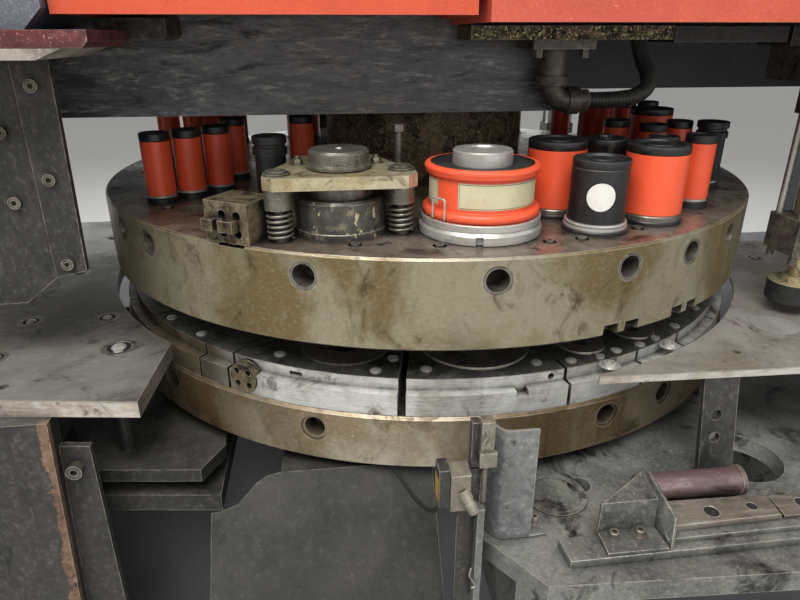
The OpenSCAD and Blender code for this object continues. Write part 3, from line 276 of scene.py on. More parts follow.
def make_grime():
    """White where dirt gathers and where shade falls, as dirt and as painted shade: near whatever stands
    close by, broken by noise.
    """
    group, given, sink = mask_group("Grime And Shade", "Reach")
    near = group.nodes.new("ShaderNodeAmbientOcclusion")
    near.samples = 6
    group.links.new(given["Reach"], near.inputs["Distance"])
    broken = span(group, noise(group, given["Vector"], 38.0, 6.0, 0.7), 0.25, 0.75, 0.55, 1.35)
    shut_in = times(group, span(group, near.outputs["AO"], 0.92, 0.35), broken, given["Amount"])
    group.links.new(maths(group, "MINIMUM", shut_in, 1.0), sink["Mask"])
    return group


def make_dust():
    """White on faces that look up, in uneven cover."""
    group, given, sink = mask_group("Dust")
    upward = span(group, axis_value(group, surface_normal(group), "Z"), 0.3, 0.95)
    cover = span(group, noise(group, given["Vector"], 11.0, 8.0, 0.7), 0.30, 0.72)
    group.links.new(times(group, upward, cover, given["Amount"]), sink["Mask"])
    return group


# Finishes

def finish(base, patch, stain, speck, patch_at, stain_at, speck_at, grain_at, rough, metal=0.0,
           stretch=EVEN, grain=EVEN, bump=0.15):
    """Four colours as a picture shows them, then the (scale, amount) of patches, stains, specks and grain,
    the range of roughness, how metallic it is, how patches and grain are stretched, and how strong its
    relief is."""
    return dict(base=paint(*base), patch=paint(*patch), stain=paint(*stain), speck=paint(*speck),
                patch_at=patch_at, stain_at=stain_at, speck_at=speck_at, grain_at=grain_at, rough=rough,
                metal=metal, stretch=stretch, grain=grain, bump=bump)


# Colour of worn edges, which is also painted highlight on the edges.
BRIGHT_WEAR_AND_HIGHLIGHT = paint(190, 184, 170)
# Colour of dirt, which is also painted shade where things stand close.
GRIME_AND_SHADE = paint(30, 26, 22)
DUST = paint(150, 146, 138)
FINISHES = {
    "black_brushed_paint": finish((66, 66, 68), (98, 98, 99), (24, 23, 22), (160, 158, 154),
        (7, 1.0), (14, 0.66), (230, 0.1), (70, 0.75), (0.28, 0.5),
        stretch=(0.45, 1, 2), grain=(0.4, 1, 1.8), bump=0.9),
    "frame_grey": finish((78, 80, 84), (92, 93, 96), (40, 38, 36), (130, 128, 122),
        (3, 0.7), (2.5, 0.35), (160, 0.15), (120, 0.15), (0.5, 0.65)),
    "hood_orange": finish((198, 80, 50), (184, 70, 44), (84, 40, 28), (240, 140, 100),
        (5, 0.7), (9, 0.12), (420, 0.12), (220, 0.12), (0.42, 0.58), stretch=(0.6, 1, 1), bump=0.25),
    "hood_salmon": finish((190, 82, 62), (176, 74, 56), (104, 52, 40), (228, 156, 130),
        (5, 0.8), (8, 0.16), (420, 0.2), (220, 0.15), (0.44, 0.6), stretch=(0.6, 1, 1), bump=0.25),
    "hood_grey": finish((92, 94, 104), (80, 82, 92), (48, 46, 48), (132, 134, 140),
        (6, 0.6), (5, 0.2), (500, 0.5), (260, 0.4), (0.45, 0.6)),
    "dull_red": finish((88, 42, 44), (66, 34, 37), (36, 26, 26), (160, 108, 106),
        (16, 0.8), (20, 0.6), (300, 0.4), (90, 0.4), (0.45, 0.65), bump=0.4),
    "pale_strip": finish((150, 142, 132), (112, 104, 98), (52, 46, 42), (200, 194, 186),
        (14, 0.8), (18, 0.6), (260, 0.3), (90, 0.4), (0.5, 0.7), bump=0.4),
    "bare_dark_plate": finish((66, 60, 56), (48, 44, 42), (22, 20, 19), (128, 120, 108),
        (12, 0.8), (16, 0.6), (300, 0.3), (70, 0.5), (0.4, 0.6), metal=0.3, bump=0.4),
    "greasy_speckle": finish((110, 96, 66), (66, 58, 42), (20, 18, 15), (196, 180, 132),
        (24, 0.8), (60, 0.85), (300, 0.6), (140, 0.6), (0.35, 0.6), metal=0.2, bump=0.8),
    "sooty_plate": finish((34, 32, 31), (50, 47, 44), (14, 13, 13), (96, 90, 82),
        (10, 0.7), (14, 0.55), (300, 0.25), (70, 0.4), (0.4, 0.6), metal=0.1, bump=0.4),
    "dusty_black": finish((42, 42, 41), (60, 59, 57), (18, 18, 17), (118, 115, 108),
        (5, 1.0), (11, 0.52), (480, 0.06), (120, 0.42), (0.36, 0.6),
        metal=0.1, stretch=(1, 1, 0.5), grain=(1, 1, 0.7), bump=0.35),
    "chute_black": finish((42, 42, 40), (52, 52, 49), (30, 29, 27), (100, 98, 93),
        (2.4, 0.8), (5, 0.5), (420, 0.2), (90, 0.2), (0.55, 0.7), stretch=(1, 1, 0.6)),
    "deck_black": finish((92, 93, 90), (126, 127, 123), (30, 30, 28), (182, 181, 175),
        (5, 1.0), (12, 0.66), (420, 0.25), (160, 0.42), (0.26, 0.5), metal=0.3, bump=0.35),
    "table_plate": finish((148, 145, 138), (98, 94, 88), (54, 47, 41), (180, 176, 168),
        (3, 1.0), (9, 0.6), (380, 0.1), (110, 0.3), (0.24, 0.44),
        metal=0.4, grain=(0.5, 2.5, 1), bump=0.12),
    "turret_side": finish((148, 141, 119), (112, 98, 64), (76, 62, 38), (184, 178, 156),
        (6, 1.0), (16, 0.62), (90, 0.0), (150, 0.3), (0.26, 0.44),
        metal=0.5, stretch=(1, 1, 0.7), grain=(1, 1, 1.6), bump=0.06),
    "turret_top": finish((128, 119, 107), (98, 84, 72), (34, 29, 25), (176, 168, 154),
        (7, 0.9), (16, 0.66), (300, 0.2), (40, 0.4), (0.24, 0.42), metal=0.45),
    "lower_side": finish((118, 106, 84), (86, 69, 46), (42, 32, 22), (160, 148, 124),
        (6, 1.0), (12, 0.65), (90, 0.0), (140, 0.3), (0.3, 0.46),
        metal=0.45, stretch=(1, 1, 0.6), grain=(1, 1, 1.6), bump=0.12),
    "lower_bright": finish((168, 162, 146), (132, 116, 88), (78, 60, 40), (200, 194, 180),
        (6, 0.9), (11, 0.6), (90, 0.0), (140, 0.3), (0.3, 0.44),
        metal=0.5, stretch=(1, 1, 0.6), grain=(1, 1, 1.6), bump=0.1),
    "holder_face": finish((196, 197, 193), (152, 149, 141), (76, 62, 48), (232, 232, 228),
        (8, 0.9), (13, 0.62), (420, 0.12), (120, 0.4), (0.24, 0.42),
        metal=0.45, stretch=(1, 1, 0.7), grain=(0.3, 0.3, 3), bump=0.1),
    "holder_brown": finish((104, 92, 74), (74, 62, 48), (38, 30, 24), (160, 150, 130),
        (7, 0.8), (11, 0.6), (420, 0.25), (60, 0.35), (0.3, 0.46),
        metal=0.5, stretch=(1, 1, 0.7), grain=(0.3, 0.3, 3), bump=0.12),
    "holder_top": finish((76, 76, 72), (100, 99, 94), (26, 24, 22), (168, 168, 162),
        (9, 0.8), (14, 0.55), (420, 0.25), (50, 0.4), (0.22, 0.4), metal=0.6, bump=0.12),
    "rusty_grease": finish((116, 96, 68), (62, 46, 33), (20, 17, 14), (188, 168, 128),
        (9, 0.9), (26, 0.75), (240, 0.5), (90, 0.7), (0.4, 0.7), metal=0.15, bump=0.7),
    "bright_steel": finish((198, 196, 190), (164, 160, 152), (78, 70, 60), (230, 228, 222),
        (20, 0.6), (26, 0.45), (520, 0.15), (60, 0.35), (0.22, 0.38),
        metal=0.55, stretch=(1, 1, 2), grain=(0.2, 0.2, 3), bump=0.08),
    "dull_steel": finish((128, 124, 115), (98, 93, 84), (44, 38, 33), (186, 182, 172),
        (16, 0.7), (24, 0.6), (420, 0.3), (90, 0.4), (0.3, 0.5), metal=0.75),
    "brassy_steel": finish((196, 186, 154), (160, 146, 108), (70, 54, 36), (226, 220, 194),
        (14, 0.9), (22, 0.66), (420, 0.3), (50, 0.4), (0.3, 0.46), metal=0.6),
    "worm_brass": finish((128, 117, 92), (86, 74, 52), (32, 26, 20), (190, 178, 146),
        (16, 1.0), (26, 0.75), (420, 0.2), (140, 0.45), (0.32, 0.5), metal=0.55, bump=0.2),
    "black_drum": finish((70, 70, 66), (98, 96, 88), (24, 23, 21), (196, 184, 150),
        (14, 0.8), (34, 0.6), (90, 0.42), (60, 0.45), (0.24, 0.44),
        metal=0.5, stretch=(1, 1, 0.6), bump=0.25),
    "black_cap": finish((20, 20, 21), (28, 28, 29), (16, 16, 16), (96, 94, 92),
        (18, 0.6), (24, 0.35), (500, 0.2), (120, 0.2), (0.34, 0.5), bump=0.1),
    "tool_orange": finish((232, 90, 56), (224, 82, 48), (150, 56, 38), (246, 150, 118),
        (12, 0.5), (14, 0.14), (500, 0.08), (120, 0.06), (0.28, 0.38), bump=0.04),
    "black_rubber": finish((24, 24, 25), (34, 34, 35), (15, 15, 15), (96, 94, 90),
        (14, 0.6), (20, 0.35), (420, 0.3), (120, 0.25), (0.5, 0.68), bump=0.2),
    "cast_black": finish((66, 62, 56), (98, 92, 83), (22, 20, 18), (140, 130, 112),
        (18, 0.7), (26, 0.6), (420, 0.4), (90, 0.4), (0.36, 0.58), metal=0.35, bump=0.5),
    "olive_tube": finish((140, 132, 106), (110, 102, 78), (50, 44, 33), (180, 172, 148),
        (8, 0.7), (12, 0.45), (420, 0.2), (60, 0.3), (0.26, 0.42),
        metal=0.7, stretch=(1, 1, 0.3), grain=(1, 1, 0.2), bump=0.08),
    "zinc_rod": finish((184, 184, 180), (150, 150, 146), (84, 78, 70), (214, 214, 210),
        (18, 0.6), (22, 0.4), (420, 0.2), (90, 0.3), (0.26, 0.42), metal=0.85, bump=0.1),
    "switch_alloy": finish((140, 136, 124), (112, 107, 94), (56, 48, 38), (180, 176, 164),
        (20, 0.7), (26, 0.5), (420, 0.3), (90, 0.3), (0.4, 0.56), metal=0.5),
    "zinc_plate": finish((104, 106, 106), (128, 130, 130), (50, 50, 50), (176, 178, 176),
        (14, 0.8), (22, 0.5), (300, 0.15), (110, 0.55), (0.34, 0.52),
        metal=0.3, stretch=(1, 1, 0.6), bump=0.3),
    "ribbed_hose": finish((46, 45, 43), (70, 68, 64), (26, 25, 24), (110, 106, 98),
        (14, 0.7), (20, 0.45), (420, 0.2), (120, 0.3), (0.42, 0.6), bump=0.2),
    "rust": finish((120, 96, 80), (92, 70, 57), (44, 35, 30), (156, 128, 106),
        (24, 0.8), (34, 0.6), (420, 0.3), (120, 0.5), (0.6, 0.8), bump=0.4),
    "right_table_plate": finish((172, 168, 160), (132, 122, 110), (74, 56, 42), (198, 194, 186),
        (4, 0.9), (10, 0.6), (380, 0.1), (110, 0.3), (0.24, 0.44),
        metal=0.4, grain=(0.5, 2.5, 1), bump=0.12),
    "label_amber": finish((178, 146, 60), (150, 118, 46), (60, 48, 30), (196, 176, 110),
        (40, 0.6), (60, 0.6), (420, 0.2), (90, 0.2), (0.34, 0.5), bump=0.05),
    "bar_steel": finish((140, 132, 122), (106, 98, 88), (44, 38, 33), (196, 190, 180),
        (16, 0.8), (20, 0.55), (420, 0.2), (60, 0.45), (0.26, 0.44),
        metal=0.45, grain=(0.3, 2, 1), bump=0.12),
    "brown_tube": finish((116, 100, 99), (90, 72, 72), (46, 36, 36), (176, 160, 164),
        (14, 0.8), (18, 0.5), (420, 0.15), (70, 0.35), (0.22, 0.4),
        metal=0.2, stretch=(0.4, 1, 1), grain=(0.3, 1, 1)),
    # Lighter rim colour, laid only on the lit front faces as painted light.
    "table_edge": finish((196, 190, 182), (158, 146, 134), (84, 66, 52), (228, 224, 218),
        (12, 0.9), (18, 0.62), (420, 0.15), (90, 0.4), (0.28, 0.44),
        metal=0.25, grain=(0.3, 0.3, 3), bump=0.1),
    "label_cream": finish((198, 192, 160), (184, 176, 142), (120, 106, 76), (150, 140, 110),
        (20, 0.6), (24, 0.35), (420, 0.15), (90, 0.15), (0.34, 0.5), bump=0.05),
    "label_white": finish((222, 220, 214), (206, 203, 196), (120, 112, 100), (170, 166, 158),
        (20, 0.6), (24, 0.35), (420, 0.15), (90, 0.15), (0.34, 0.5), bump=0.05),
}


WEATHERING = make_weathering()
EDGE_WEAR_AND_HIGHLIGHT = make_edge_wear()
GRIME_AND_SHADE_COVER = make_grime()
DUST_COVER = make_dust()


def zone_nodes(tree, xyz, name):
    """One finish as a group in a material. Returns its colour, roughness and height sockets."""
    look = FINISHES[name]
    node = tree.nodes.new("ShaderNodeGroup")
    node.node_tree = WEATHERING
    for label, stretch in (("Vector", look["stretch"]), ("Grain Vector", look["grain"])):
        mapping = tree.nodes.new("ShaderNodeMapping")
        mapping.inputs["Scale"].default_value = stretch
        tree.links.new(xyz, mapping.inputs["Vector"])
        tree.links.new(mapping.outputs["Vector"], node.inputs[label])
    for label in ("Base", "Patch", "Stain", "Speck"):
        node.inputs[label].default_value = look[label.lower()]
    for label in ("Patch", "Stain", "Speck", "Grain"):
        scale, amount = look[label.lower() + "_at"]
        node.inputs[label + " Scale"].default_value = scale
        node.inputs[label + " Amount"].default_value = amount
    node.inputs["Rough Low"].default_value, node.inputs["Rough High"].default_value = look["rough"]
    return node.outputs["Color"], node.outputs["Roughness"], node.outputs["Height"]


# Masks: each is a function of the material's tree and its object coordinates

def above(axis, start, soft=0.0004):
    """A mask that is 1 where the axis value is past start."""
    return lambda tree, xyz: span(tree, axis_value(tree, xyz, axis), start - soft, start + soft)


def below(axis, end, soft=0.0004):
    return lambda tree, xyz: span(tree, axis_value(tree, xyz, axis), end - soft, end + soft, 1.0, 0.0)


def both(*masks):
    return lambda tree, xyz: times(tree, *[mask(tree, xyz) for mask in masks])


def from_axis(centre, radius, near, far, soft=0.0004):
    """A mask over the distance from an upright axis: near inside the radius and far outside it."""
    def mask(tree, xyz):
        away = [maths(tree, "SUBTRACT", axis_value(tree, xyz, axis), middle)
                for axis, middle in zip("XY", centre)]
        squares = plus(tree, *[times(tree, d, d) for d in away])
        return span(tree, maths(tree, "SQRT", squares), radius - soft, radius + soft, near, far)
    return mask


def within(centre, radius):
    return from_axis(centre, radius, 1.0, 0.0)


def outside(centre, radius):
    return from_axis(centre, radius, 0.0, 1.0)


def towards_tool_side(tree, _):
    """A mask that is 1 on faces that look along -Y."""
    return span(tree, axis_value(tree, surface_normal(tree), "Y"), -0.97, -0.90, 1.0, 0.0)


def rusty_corner(tree, xyz):
    """A mask along the leaning right edge of the corner box's front, with a ragged border."""
    lean, edge_x, front_y = -0.0542, 0.6422, -0.6125
    leaned = plus(tree, axis_value(tree, xyz, "X"), times(tree, axis_value(tree, xyz, "Z"), lean))
    ragged = times(tree, noise(tree, xyz, 30.0, 4.0, 0.7), 0.036)
    from_edge = plus(tree, plus(tree, leaned, edge_x), ragged)
    front = below("Y", front_y, 0.0015)(tree, xyz)
    return times(tree, front, span(tree, from_edge, 0.0045, 0.0075))


def overlay(tree, group, xyz, **values):
    """The mask of one of the shared groups, with its values set."""
    node = tree.nodes.new("ShaderNodeGroup")
    node.node_tree = group
    tree.links.new(xyz, node.inputs["Vector"])
    for label, value in values.items():
        node.inputs[label].default_value = value
    return node.outputs["Mask"]


def make_finish(name, first, *zones, wear=0.6, grime=0.0, dust=0.0, reach=0.02, shine=0.5):
    """A material from finishes laid over each other: the first, then (finish, mask) for each of the zones.
    The edge mask brightens its edges, as wear and as painted highlight; the grime mask darkens what is shut
    in within reach, as dirt and as painted shade; and dust lies on what looks up."""
    edge_width, dirt_roughness, relief = 0.0018, 0.6, 0.002
    material = bpy.data.materials.new(name)
    material.use_nodes = True
    tree = material.node_tree
    shader = tree.nodes["Principled BSDF"].inputs
    xyz = tree.nodes.new("ShaderNodeTexCoord").outputs["Object"]
    colour, rough, height = zone_nodes(tree, xyz, first)
    metal = FINISHES[first]["metal"]
    one_metal = all(FINISHES[zone]["metal"] == metal for zone, _ in zones)
    for zone, mask_of in zones:
        mask = mask_of(tree, xyz)
        next_colour, next_rough, next_height = zone_nodes(tree, xyz, zone)
        colour = blend(tree, mask, colour, next_colour)
        rough = blend(tree, mask, rough, next_rough, "FLOAT")
        height = blend(tree, mask, height, next_height, "FLOAT")
        if not one_metal:
            metal = blend(tree, mask, metal, FINISHES[zone]["metal"], "FLOAT")
    if dust > 0.0:
        colour = blend(tree, overlay(tree, DUST_COVER, xyz, Amount=dust), colour, DUST)
    # Bright edge colour: wear and painted highlight.
    if wear > 0.0:
        mask = overlay(tree, EDGE_WEAR_AND_HIGHLIGHT, xyz, Width=edge_width, Amount=wear)
        colour = blend(tree, mask, colour, BRIGHT_WEAR_AND_HIGHLIGHT)
    # Dark colour where things stand close: dirt and painted shade.
    if grime > 0.0:
        mask = overlay(tree, GRIME_AND_SHADE_COVER, xyz, Reach=reach, Amount=grime)
        colour = blend(tree, mask, colour, GRIME_AND_SHADE)
        rough = blend(tree, mask, rough, dirt_roughness, "FLOAT")
    for label, value in (("Base Color", colour), ("Roughness", rough), ("Metallic", metal),
                         ("Specular IOR Level", shine)):
        feed(tree, shader[label], value)
    bump = tree.nodes.new("ShaderNodeBump")
    bump.inputs["Strength"].default_value = FINISHES[first]["bump"]
    bump.inputs["Distance"].default_value = relief
    tree.links.new(height, bump.inputs["Height"])
    tree.links.new(bump.outputs["Normal"], shader["Normal"])
    return material


# The finish of each node

LARGE_TOOL = (0.00532, -0.50797)
NEAR_HOLDER = (0.579, -0.452)
FAR_HOLDER = (0.583, 0.760)
SLEEVE_FOOT = TURRET_TOP + 0.0108
SLEEVE_RING = TURRET_TOP + 0.0146
SLEEVE_HEAD = TURRET_TOP + 0.102
GUIDE_FOOT = TURRET_TOP + 0.007
GUIDE_RING = TURRET_TOP + 0.0158


def dress(nodes, *zones, **look):
    """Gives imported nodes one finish. Their meshes stay as they are."""
    nodes = nodes.split()
    material = make_finish(nodes[0] + "_finish", *zones, **look)
    for node in nodes:
        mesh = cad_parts[node].data
        mesh.materials.clear()
        mesh.materials.append(material)


def dress_nodes():
    """The finish of each node, with zones for its tubes, rims, rings and faces."""
    painted_top, painted_back = 1.44, 0.1
    red_top, strip_top = 1.3658, 1.3467
    left_trim, right_trim = -0.2, 0.316
    tube_low, tube_high, tube_radius = 1.086, 1.2445, 0.0285
    rubber_top = 0.9705
    rim_radius = 0.6494
    lid_radius, lid_height = 0.0725, 0.0945
    tube_span = both(above("Z", tube_low), below("Z", tube_high))
    holder_tubes = [("olive_tube", both(within(centre, tube_radius), tube_span))
                    for centre in (NEAR_HOLDER, FAR_HOLDER)]
    rim_edge = both(above("Z", TURRET_TOP - 0.0034), outside((0.0, 0.0), rim_radius))
    # Painted light: the lighter edge finish lies only on rim faces that look along -Y, where the light
    # falls; the shaded end faces keep the plate finish.
    table_rim_lit_side = both(below("Z", PASS_LINE - 0.0016), towards_tool_side)
    lid_middle = both(within(LARGE_TOOL, lid_radius), above("Z", TURRET_TOP + lid_height))
    sleeve_rings = [("bright_steel", below("Z", SLEEVE_RING)), ("black_cap", below("Z", SLEEVE_FOOT))]
    dress("upper_frame", "black_brushed_paint", ("frame_grey", above("Z", painted_top, 0.03)),
          ("frame_grey", above("Y", painted_back, 0.02)), wear=0.25, grime=0.5, reach=0.03)
    dress("base_frame side_frames", "frame_grey", wear=0.3, grime=0.4, dust=0.3, reach=0.04, shine=0.35)
    dress("ram_housing pin_housings", "sooty_plate", wear=0.5, grime=0.4, dust=0.2, reach=0.03, shine=0.4)
    dress("cover_left", "hood_orange", wear=0.12, grime=0.3, dust=0.1, shine=0.4)
    dress("cover_right", "hood_salmon", wear=0.12, grime=0.3, dust=0.1, shine=0.4)
    dress("side_cover", "hood_grey", ("dull_red", below("Z", red_top)),
          ("pale_strip", below("Z", strip_top)), wear=0.2, grime=0.4, shine=0.35)
    dress("trim_plates", "greasy_speckle", ("bare_dark_plate", below("X", left_trim)),
          ("sooty_plate", above("X", right_trim)), wear=0.3, grime=0.3, shine=0.4)
    dress("left_bracket", "dusty_black", wear=0.7, grime=0.5, dust=0.1, reach=0.03, shine=0.3)
    dress("frame_screws", "cast_black", wear=0.9, grime=0.6, reach=0.008)
    dress("left_table", "table_plate", ("table_edge", table_rim_lit_side), wear=1.0, grime=0.5)
    dress("right_table", "right_table_plate", ("table_edge", table_rim_lit_side), wear=1.0, grime=0.5)
    dress("ball_transfers", "dull_steel", ("bright_steel", above("Z", PASS_LINE + 0.0002)), wear=0.5,
          grime=0.6, reach=0.008)
    dress("table_supports left_platform", "dusty_black", grime=0.5, dust=0.3, reach=0.04, shine=0.3)
    dress("corner_box", "dusty_black", ("rust", rusty_corner), grime=0.5, dust=0.3, reach=0.04, shine=0.3)
    dress("chute", "chute_black", wear=0.4, grime=0.4, dust=0.15, reach=0.04, shine=0.15)
    dress("deck deck_guides", "deck_black", wear=1.0, grime=0.7, reach=0.03)
    dress("sensor_bracket", "dusty_black", wear=1.0, grime=0.6)
    dress("limit_switch", "switch_alloy", grime=0.5, reach=0.01)
    dress("conduit_elbow", "cast_black", wear=0.5, grime=0.4, reach=0.015)
    dress("holder_bodies", "cast_black", ("zinc_rod", tube_span), *holder_tubes, wear=0.5, grime=0.4,
          reach=0.015)
    dress("holder_pad_near holder_pad_far", "black_rubber", ("brassy_steel", above("Z", rubber_top)),
          wear=0.1, grime=0.3, reach=0.015, shine=0.4)
    dress("upper_turret", "turret_side", ("turret_top", above("Z", TURRET_TOP - 0.0006)),
          ("bright_steel", rim_edge), wear=0.9, grime=1.2, reach=0.03)
    dress("upper_index_bushes", "dull_steel", wear=0.9, grime=0.5)
    dress("upper_hub lower_hub", "rusty_grease", wear=0.2, grime=0.6, reach=0.06, shine=0.4)
    dress("small_guides", "tool_orange", *sleeve_rings, wear=0.0, grime=0.4, reach=0.01)
    dress("medium_guides", "tool_orange", ("dull_steel", below("Z", GUIDE_RING)),
          ("black_cap", below("Z", GUIDE_FOOT)), wear=0.0, grime=0.4, reach=0.01)
    dress("small_guide_heads", "black_cap", *sleeve_rings, wear=0.15, grime=0.3, reach=0.01)
    dress("medium_guide_heads", "black_cap", ("bright_steel", below("Z", GUIDE_RING)),
          ("black_cap", below("Z", GUIDE_FOOT)), wear=0.15, grime=0.3, reach=0.01)
    dress("struck_tool", "tool_orange", ("black_cap", above("Z", SLEEVE_HEAD)), wear=0.0, grime=0.3,
          reach=0.01)
    dress("turret_screws indexer_posts", "dull_steel", wear=0.7, grime=0.6, reach=0.01)
    dress("large_guide", "tool_orange", ("bright_steel", below("Z", TURRET_TOP + 0.0182)),
          ("black_rubber", lid_middle), wear=0.0, grime=0.4, reach=0.01)
    dress("large_guide_head", "bright_steel", wear=0.5, grime=0.4, reach=0.01)
    dress("indexer_block indexer_coupling lower_coupling", "worm_brass", wear=1.0, grime=1.2, reach=0.018)
    dress("indexer_drum", "black_drum", wear=0.8, grime=0.8)
    dress("indexer_plate", "brassy_steel", wear=1.0, grime=0.7, reach=0.015)
    dress("indexer_striker", "dull_steel", wear=0.7, grime=0.5, reach=0.01)
    dress("indexer_fittings", "dull_steel", wear=0.8, grime=0.8, reach=0.01)
    dress("indexer_springs", "dull_steel", wear=0.0, grime=0.4, reach=0.01)
    dress("ram upper_index_pin lower_index_pin turret_bearings drive_shaft", "bright_steel", wear=0.4,
          grime=0.4)
    dress("lower_turret", "lower_side",
          ("lower_bright", both(above("X", -0.3, 0.12), below("X", -0.02, 0.08))), wear=0.8, grime=0.9,
          reach=0.03)
    dress("die_holders", "holder_brown", ("holder_face", above("X", -0.36, 0.06)),
          ("holder_top", above("Z", PASS_LINE - 0.0008)), wear=1.0, grime=0.9, reach=0.015)
    dress("dies lower_index_die", "dull_steel", wear=0.8, grime=0.6, reach=0.01)
    dress("die_holder_screws", "bright_steel", wear=0.3, grime=0.4, reach=0.006)
    dress("drive_chains", "cast_black", wear=0.3, grime=0.4)


# Surfaces worked out on a grid

def surface(name, points, capped=True):
    """A mesh from rings of points (rings, points of a ring, 3), each closed and joined to the next one.
    capped closes both ends with a flat face."""
    rings, sides, _ = points.shape
    r, c = np.meshgrid(np.arange(rings - 1), np.arange(sides), indexing="ij")
    next_c = (c + 1) % sides
    quads = np.stack([r * sides + c, r * sides + next_c, (r + 1) * sides + next_c, (r + 1) * sides + c], -1)
    faces = quads.reshape(-1, 4).tolist()
    if capped:
        faces.append(list(range(sides))[::-1])
        faces.append(list(range((rings - 1) * sides, rings * sides)))
    mesh = bpy.data.meshes.new(name)
    mesh.from_pydata(points.reshape(-1, 3).tolist(), [], faces)
    shell = bmesh.new()
    shell.from_mesh(mesh)
    bmesh.ops.recalc_face_normals(shell, faces=shell.faces)
    shell.to_mesh(mesh)
    shell.free()
    mesh.shade_smooth()
    mesh.update()
    piece = bpy.data.objects.new(name, mesh)
    bpy.context.collection.objects.link(piece)
    return piece


def sharpen(piece, degrees=35.0):
    """Shades the edges that turn by more than the angle as hard ones."""
    piece.data.set_sharp_from_angle(angle=math.radians(degrees))
    return piece


def unit(vectors):
    return vectors / np.linalg.norm(vectors, axis=-1, keepdims=True)


def circle(sides):
    """Angles once round, without the last one, which is the first."""
    return np.linspace(0.0, FULL_TURN, sides, endpoint=False)


def wire(name, path, radii, sides):
    """A round wire along a path: a ring at each of its points, path + radius (cos t side + sin t up)."""
    heading = unit(np.gradient(path, axis=0))
    steep = np.abs(heading[:, 2:3]) > 0.9
    upright = np.where(steep, np.array([[0.0, 1.0, 0.0]]), np.array([[0.0, 0.0, 1.0]]))
    side = unit(np.cross(heading, upright))
    up = np.cross(side, heading)
    t = circle(sides)[None, :, None]
    ring = np.cos(t) * side[:, None, :] + np.sin(t) * up[:, None, :]
    return surface(name, path[:, None, :] + np.broadcast_to(radii, len(path))[:, None, None] * ring)


def turned(name, origin, axis, profile, sides=56):
    """A turned part. Each (distance d, radius r) of the profile, in millimetres, is a ring:
    origin + d axis + r (cos t u + sin t v)."""
    axis = unit(np.array(axis, float))
    helper = np.array([1.0, 0.0, 0.0]) if abs(axis[2]) > 0.9 else np.array([0.0, 0.0, 1.0])
    u = unit(np.cross(helper, axis))
    v = np.cross(axis, u)
    t = circle(sides)[:, None]
    rows = np.array(profile, float) * MM
    ring = np.cos(t) * u + np.sin(t) * v
    d, r = rows[:, 0, None, None], rows[:, 1, None, None]
    return sharpen(surface(name, np.array(origin) + d * axis + r * ring))


def slab(name, corners, thick, ease=0.0012):
    """A flat plate with eased rims: its outline, anticlockwise on the outer face, moves inwards by
    ease (1 - sin a) while the depth runs in from each face by ease (1 - cos a)."""
    outline = np.array(corners, float)
    normal = unit(np.cross(outline[1] - outline[0], outline[2] - outline[1]))
    back = unit(outline - np.roll(outline, 1, 0))
    ahead = unit(np.roll(outline, -1, 0) - outline)
    inwards = np.cross(normal, back) + np.cross(normal, ahead)
    inwards /= 1.0 + (back * ahead).sum(-1, keepdims=True)
    a = np.linspace(0.0, QUARTER_TURN, 4)
    inset = ease * (1.0 - np.sin(a))
    depth = ease * (1.0 - np.cos(a))
    inset = np.concatenate([inset, inset[::-1]])[:, None, None]
    depth = np.concatenate([depth, thick - depth[::-1]])[:, None, None]
    return sharpen(surface(name, outline - depth * normal + inset * inwards), 30.0)


def washer_bolt(name, origin, radius, height):
    """An upright cap bolt on its washer, turned, with a socket in its head."""
    return turned(name, origin, UP, [
        (0.0, 1.75 * radius), (0.14 * height, 1.75 * radius), (0.16 * height, 1.05 * radius),
        (0.9 * height, radius), (height, 0.88 * radius), (height, 0.52 * radius),
        (0.5 * height, 0.46 * radius), (0.5 * height, 0.02 * radius)])


def smooth_path(points, steps):
    """A Catmull-Rom curve through the points, with a number of steps between neighbours."""
    p = np.array(points, float)
    before = np.vstack([p[:1], p[:-1]])[:-1]
    start, end = p[:-1], p[1:]
    after = np.vstack([p[2:], p[-1:]])
    f = (np.arange(steps) / steps)[None, :, None]
    a, b, c, d = (q[:, None, :] for q in (before, start, end, after))
    curve = b + f / 2 * ((c - a) + f * ((2 * a - 5 * b + 4 * c - d) + f * (3 * (b - c) + d - a)))
    return np.vstack([curve.reshape(-1, 3), p[-1:]])


def step_lengths(path):
    return np.linalg.norm(np.diff(path, axis=0), axis=1)


def at(x, y, z):
    """A place in metres, from millimetres counted from the middle of the turret's top."""
    return (x * MM, y * MM, z * MM + TURRET_TOP)


def places(points):
    return [at(*point) for point in points]


def station(angle, radius):
    """The axis of a station in metres; its angle counts from -Y towards +X."""
    t = math.radians(angle)
    return (radius * MM * math.sin(t), -radius * MM * math.cos(t))


def plain_piece(piece, body, material, slot_name):
    """Gives a new piece its material and its body; its slot_name is not used."""
    piece.data.materials.append(material)
    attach(piece, body)
    return piece


# Cords

CABLE_RADIUS = 0.003
CABLE_POINTS = [
    (-84, -774, -262), (-90, -773, -265), (-95, -768, -275), (-99, -755, -292), (-106, -730, -308),
    (-114, -700, -318), (-122, -668, -322), (-129, -640, -326), (-133, -615, -331), (-134, -592, -332)]
HOSE_RADIUS = 0.013
HOSE_RIB_DEPTH = 0.0022
HOSE_RIB_PITCH = 0.0056
HOSE_POINTS = [
    (208, -362, 163), (235, -362, 163), (265, -360, 164), (292, -352, 167), (315, -338, 174),
    (332, -318, 184), (341, -292, 200), (343, -262, 222), (343, -240, 250), (343, -228, 280),
    (343, -225, 306)]


def make_sensor_cable(rubber):
    route = smooth_path(places(CABLE_POINTS), 8)
    cable = wire("sensor_cable_sheath", route, CABLE_RADIUS, 16)
    plain_piece(cable, "frame", rubber, "black_rubber")
    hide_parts("sensor_cable")


